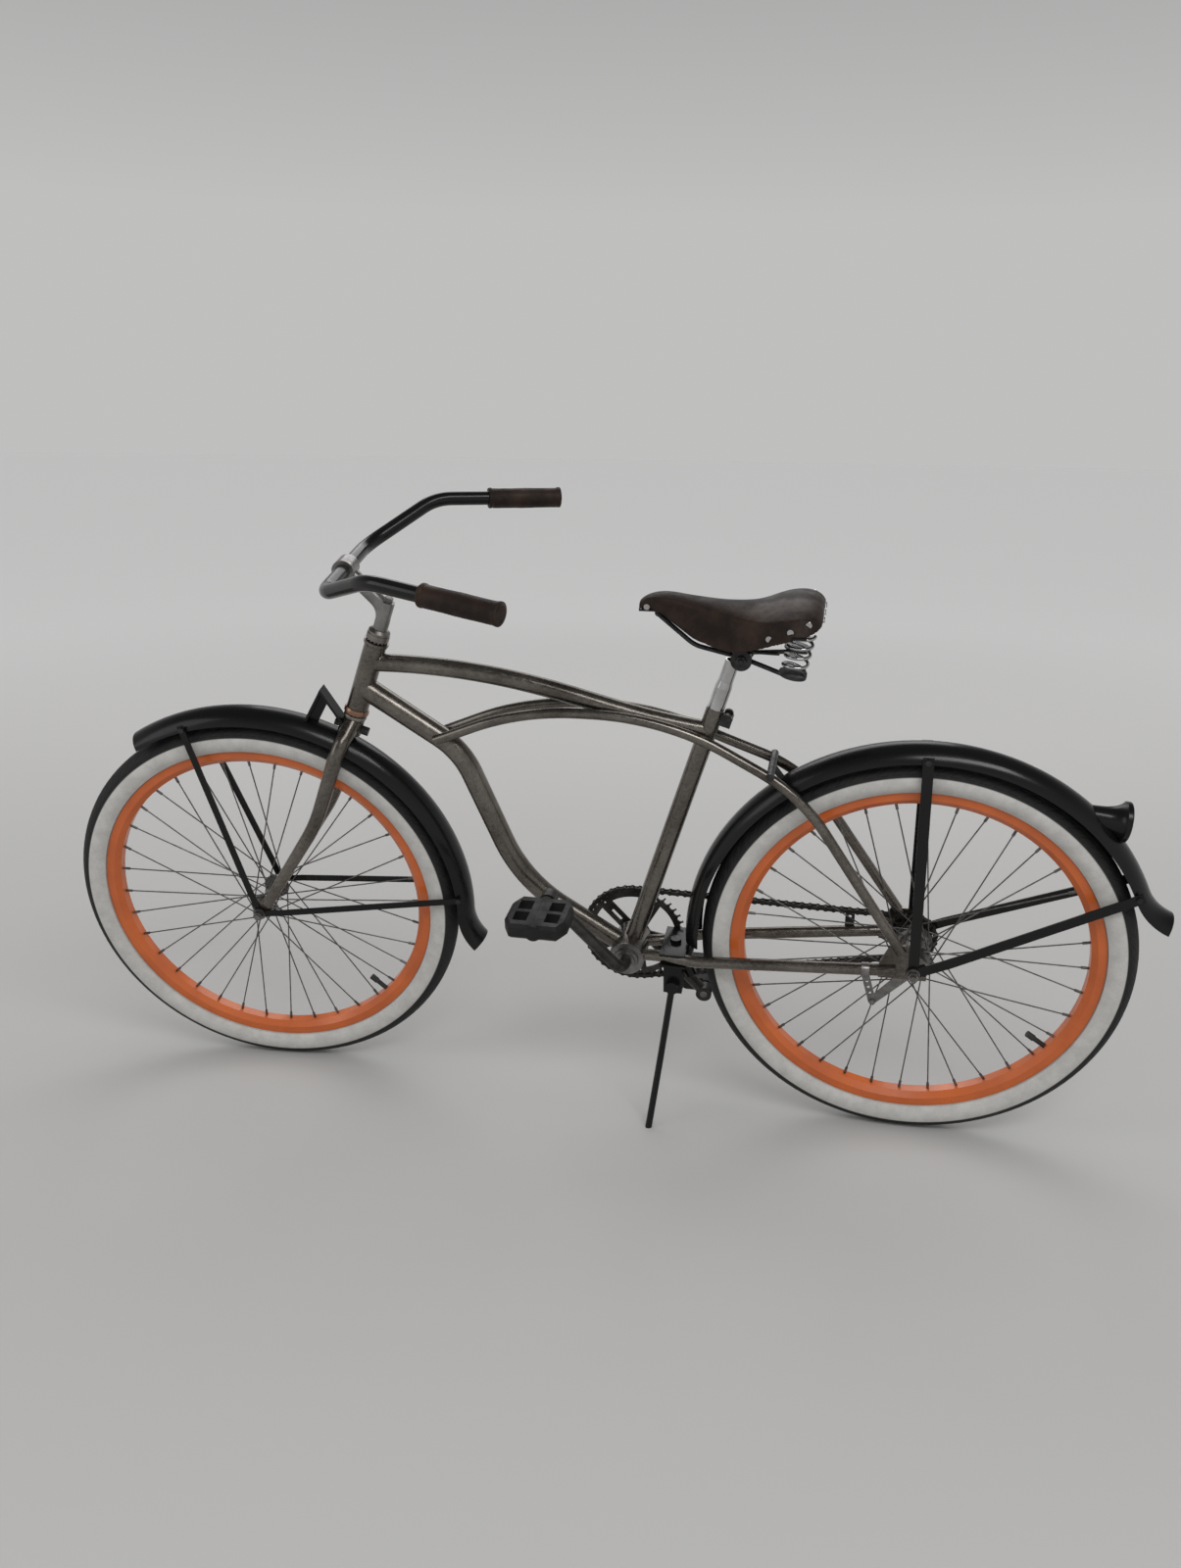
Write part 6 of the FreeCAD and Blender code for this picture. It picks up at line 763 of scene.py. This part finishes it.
class CRUISER_OT_springs(bpy.types.Operator):
    """Make the saddle's chromed coil springs, riding on the seat"""
    bl_idname = "cruiser.springs"
    bl_label = "Saddle springs"

    def execute(self, context):
        mesh = frame["nodes"]["saddle_springs"].data.copy()
        chrome = chrome_finish("spring_chrome")
        coils = new_piece("saddle_coils", mesh, chrome, "seat", "chrome", "saddle_springs")
        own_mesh(coils)
        return {"FINISHED"}


class CRUISER_OT_grips(bpy.types.Operator):
    """Make the stitched leather grips"""
    bl_idname = "cruiser.grips"
    bl_label = "Grips"

    def execute(self, context):
        finish = finish_of(context)
        sizes = sizes_of(context)
        leather = leather_finish("grip_leather_brown", finish, grain=420.0)
        thread = worn_finish("grip_thread", finish.stitch, finish.leather_worn, mottle=300.0, grain=1500.0,
                             rough=(0.65, 0.85), relief=0.0002)
        for name, side in (("left", 1), ("right", -1)):
            sleeve = grip_mesh(side, sizes)
            new_piece(f"{name}_grip_sleeve", sleeve, leather, "steering", "leather", "handlebar_grips")
            stitches = stitch_mesh(side, sizes)
            new_piece(f"{name}_grip_stitches", stitches, thread, "steering", "leather")
        return {"FINISHED"}


# Stage

CAMERA_PLACE = (-0.40341, 1.84664, 1.10675)
CAMERA_FORWARD = (0.195899, -0.944406, -0.264045)
CAMERA_UP = (0.068712, -0.255381, 0.964396)
# Each lamp: name, place, width, height, and where it points
KEY_LAMP = ("key_lamp", (-1.6, 2.6, 3.4), 2.8, 1.0, (0.0, 0.0, 0.5))
FILL_LAMP = ("fill_lamp", (2.6, 1.8, 1.9), 1.4, 1.8, (0.2, 0.0, 0.5))
BACK_LAMP = ("back_lamp", (0.4, -2.6, 2.9), 3.0, 1.6, (0.0, 0.0, 0.5))


def add_lamp(lamp, power):
    """A rectangular soft lamp."""
    name, place, width, height, target = lamp
    light = bpy.data.lights.new(name, "AREA")
    light.shape = "RECTANGLE"
    light.size = width
    light.size_y = height
    light.energy = power
    holder = bpy.data.objects.new(name, light)
    holder.location = place
    holder.rotation_euler = (Vector(target) - Vector(place)).to_track_quat("-Z", "Y").to_euler()
    bpy.context.scene.collection.objects.link(holder)


# Distances from the middle of the floor between which its colour lightens: painted light that makes up for
# the lamps' light falling off far away
FLOOR_NEAR = 0.8
FLOOR_FAR = 6.5
FLOOR_SIDES = 96


def floor_finish(stage):
    """Pale matt floor whose colour lightens far away: painted light that makes up for the lamps' light
    falling off there, so that the floor meets the backdrop.
    """
    material, tree, shader = start_material("pale_floor")
    distance = vector_node(tree, "LENGTH", place_vector(tree))
    away = mapped(tree, distance, (FLOOR_NEAR, FLOOR_FAR), FULL_RANGE)
    # Painted light: the colour lightens with distance, where the lamps' light falls off
    colour = ramp(tree, away, FULL_RANGE, stage.floor_colour, stage.floor_far_painted_light)
    tree.links.new(colour, shader.inputs["Base Color"])
    set_sockets(shader, roughness=0.75, specular_ior_level=0.25)
    return material


# Upward share of the view direction where the backdrop starts to darken, and where it is darkest
BACKDROP_RANGE = (0.15, 0.70)


def pale_world(stage):
    """Even light for surfaces, and a pale backdrop for the camera and for reflections."""
    world = bpy.data.worlds.new("pale_room")
    bpy.context.scene.world = world
    world.use_nodes = True
    tree = world.node_tree
    light = tree.nodes["Background"]
    light.inputs["Strength"].default_value = stage.sky_strength
    light.inputs["Color"].default_value = (1, 1, 1, 1)
    seen = tree.nodes.new("ShaderNodeBackground")
    way = tree.nodes.new("ShaderNodeSeparateXYZ")
    tree.links.new(tree.nodes.new("ShaderNodeTexCoord").outputs["Generated"], way.inputs[0])
    tone = ramp(tree, way.outputs["Z"], BACKDROP_RANGE, stage.backdrop_low, stage.backdrop_high)
    tree.links.new(tone, seen.inputs["Color"])
    rays = tree.nodes.new("ShaderNodeLightPath").outputs
    direct = math_node(tree, "MAXIMUM", rays["Is Camera Ray"], rays["Is Transmission Ray"])
    shown = math_node(tree, "MAXIMUM", direct, rays["Is Glossy Ray"])
    chosen = tree.nodes.new("ShaderNodeMixShader")
    tree.links.new(shown, chosen.inputs["Fac"])
    tree.links.new(light.outputs[0], chosen.inputs[1])
    tree.links.new(seen.outputs[0], chosen.inputs[2])
    tree.links.new(chosen.outputs[0], tree.nodes["World Output"].inputs["Surface"])


class CRUISER_OT_stage(bpy.types.Operator):
    """Set up the floor, the lamps and the camera"""
    bl_idname = "cruiser.stage"
    bl_label = "Stage"

    def execute(self, context):
        stage = context.scene.cruiser_stage
        shape = bmesh.new()
        bmesh.ops.create_circle(shape, cap_ends=True, segments=FLOOR_SIDES, radius=stage.floor_radius)
        mesh = bpy.data.meshes.new("floor")
        shape.to_mesh(mesh)
        shape.free()
        mesh.materials.append(floor_finish(stage))
        floor = bpy.data.objects.new("floor", mesh)
        context.scene.collection.objects.link(floor)
        pale_world(stage)
        add_lamp(KEY_LAMP, stage.key_power)
        add_lamp(FILL_LAMP, stage.fill_power)
        add_lamp(BACK_LAMP, stage.back_power)
        lens = bpy.data.cameras.new("photo_camera")
        lens.sensor_fit = "VERTICAL"
        lens.sensor_height = SENSOR_HEIGHT_MM
        lens.lens = stage.focal_pixels * SENSOR_HEIGHT_MM / PHOTO_HEIGHT
        camera = bpy.data.objects.new("photo_camera", lens)
        forward = Vector(CAMERA_FORWARD).normalized()
        right = forward.cross(Vector(CAMERA_UP)).normalized()
        up = right.cross(forward)
        turned = Matrix((right, up, -forward)).transposed().to_4x4()
        camera.matrix_world = Matrix.Translation(CAMERA_PLACE) @ turned
        context.scene.collection.objects.link(camera)
        context.scene.camera = camera
        context.scene.view_settings.view_transform = "Standard"
        return {"FINISHED"}


OPERATORS = (CRUISER_OT_frame_tubes, CRUISER_OT_headset, CRUISER_OT_paintwork, CRUISER_OT_brightwork,
             CRUISER_OT_drive, CRUISER_OT_tyres, CRUISER_OT_saddle, CRUISER_OT_springs, CRUISER_OT_grips,
             CRUISER_OT_stage)


class CRUISER_PT_panel(bpy.types.Panel):
    """Lists the pieces and their sizes"""
    bl_idname = "CRUISER_PT_panel"
    bl_label = "Beach cruiser"
    bl_space_type = "VIEW_3D"
    bl_region_type = "UI"
    bl_category = "Cruiser"

    def draw(self, context):
        for operator in OPERATORS:
            self.layout.operator(operator.bl_idname)
        for group in (finish_of(context), sizes_of(context), context.scene.cruiser_stage):
            for name in group.bl_rna.properties.keys():
                if name not in ("rna_type", "name"):
                    self.layout.prop(group, name)


CLASSES = (CruiserFinish, CruiserSizes, CruiserStage, *OPERATORS, CRUISER_PT_panel)


def register():
    for item in CLASSES:
        bpy.utils.register_class(item)
    bpy.types.Scene.cruiser_finish = bpy.props.PointerProperty(type=CruiserFinish)
    bpy.types.Scene.cruiser_sizes = bpy.props.PointerProperty(type=CruiserSizes)
    bpy.types.Scene.cruiser_stage = bpy.props.PointerProperty(type=CruiserStage)


def unregister():
    del bpy.types.Scene.cruiser_stage
    del bpy.types.Scene.cruiser_sizes
    del bpy.types.Scene.cruiser_finish
    for item in reversed(CLASSES):
        bpy.utils.unregister_class(item)


def main():
    register()
    bpy.ops.cruiser.frame_tubes()
    bpy.ops.cruiser.headset()
    bpy.ops.cruiser.paintwork()
    bpy.ops.cruiser.brightwork()
    bpy.ops.cruiser.drive()
    bpy.ops.cruiser.tyres()
    bpy.ops.cruiser.saddle()
    bpy.ops.cruiser.springs()
    bpy.ops.cruiser.grips()
    bpy.ops.cruiser.stage()


if __name__ == "__main__":
    main()
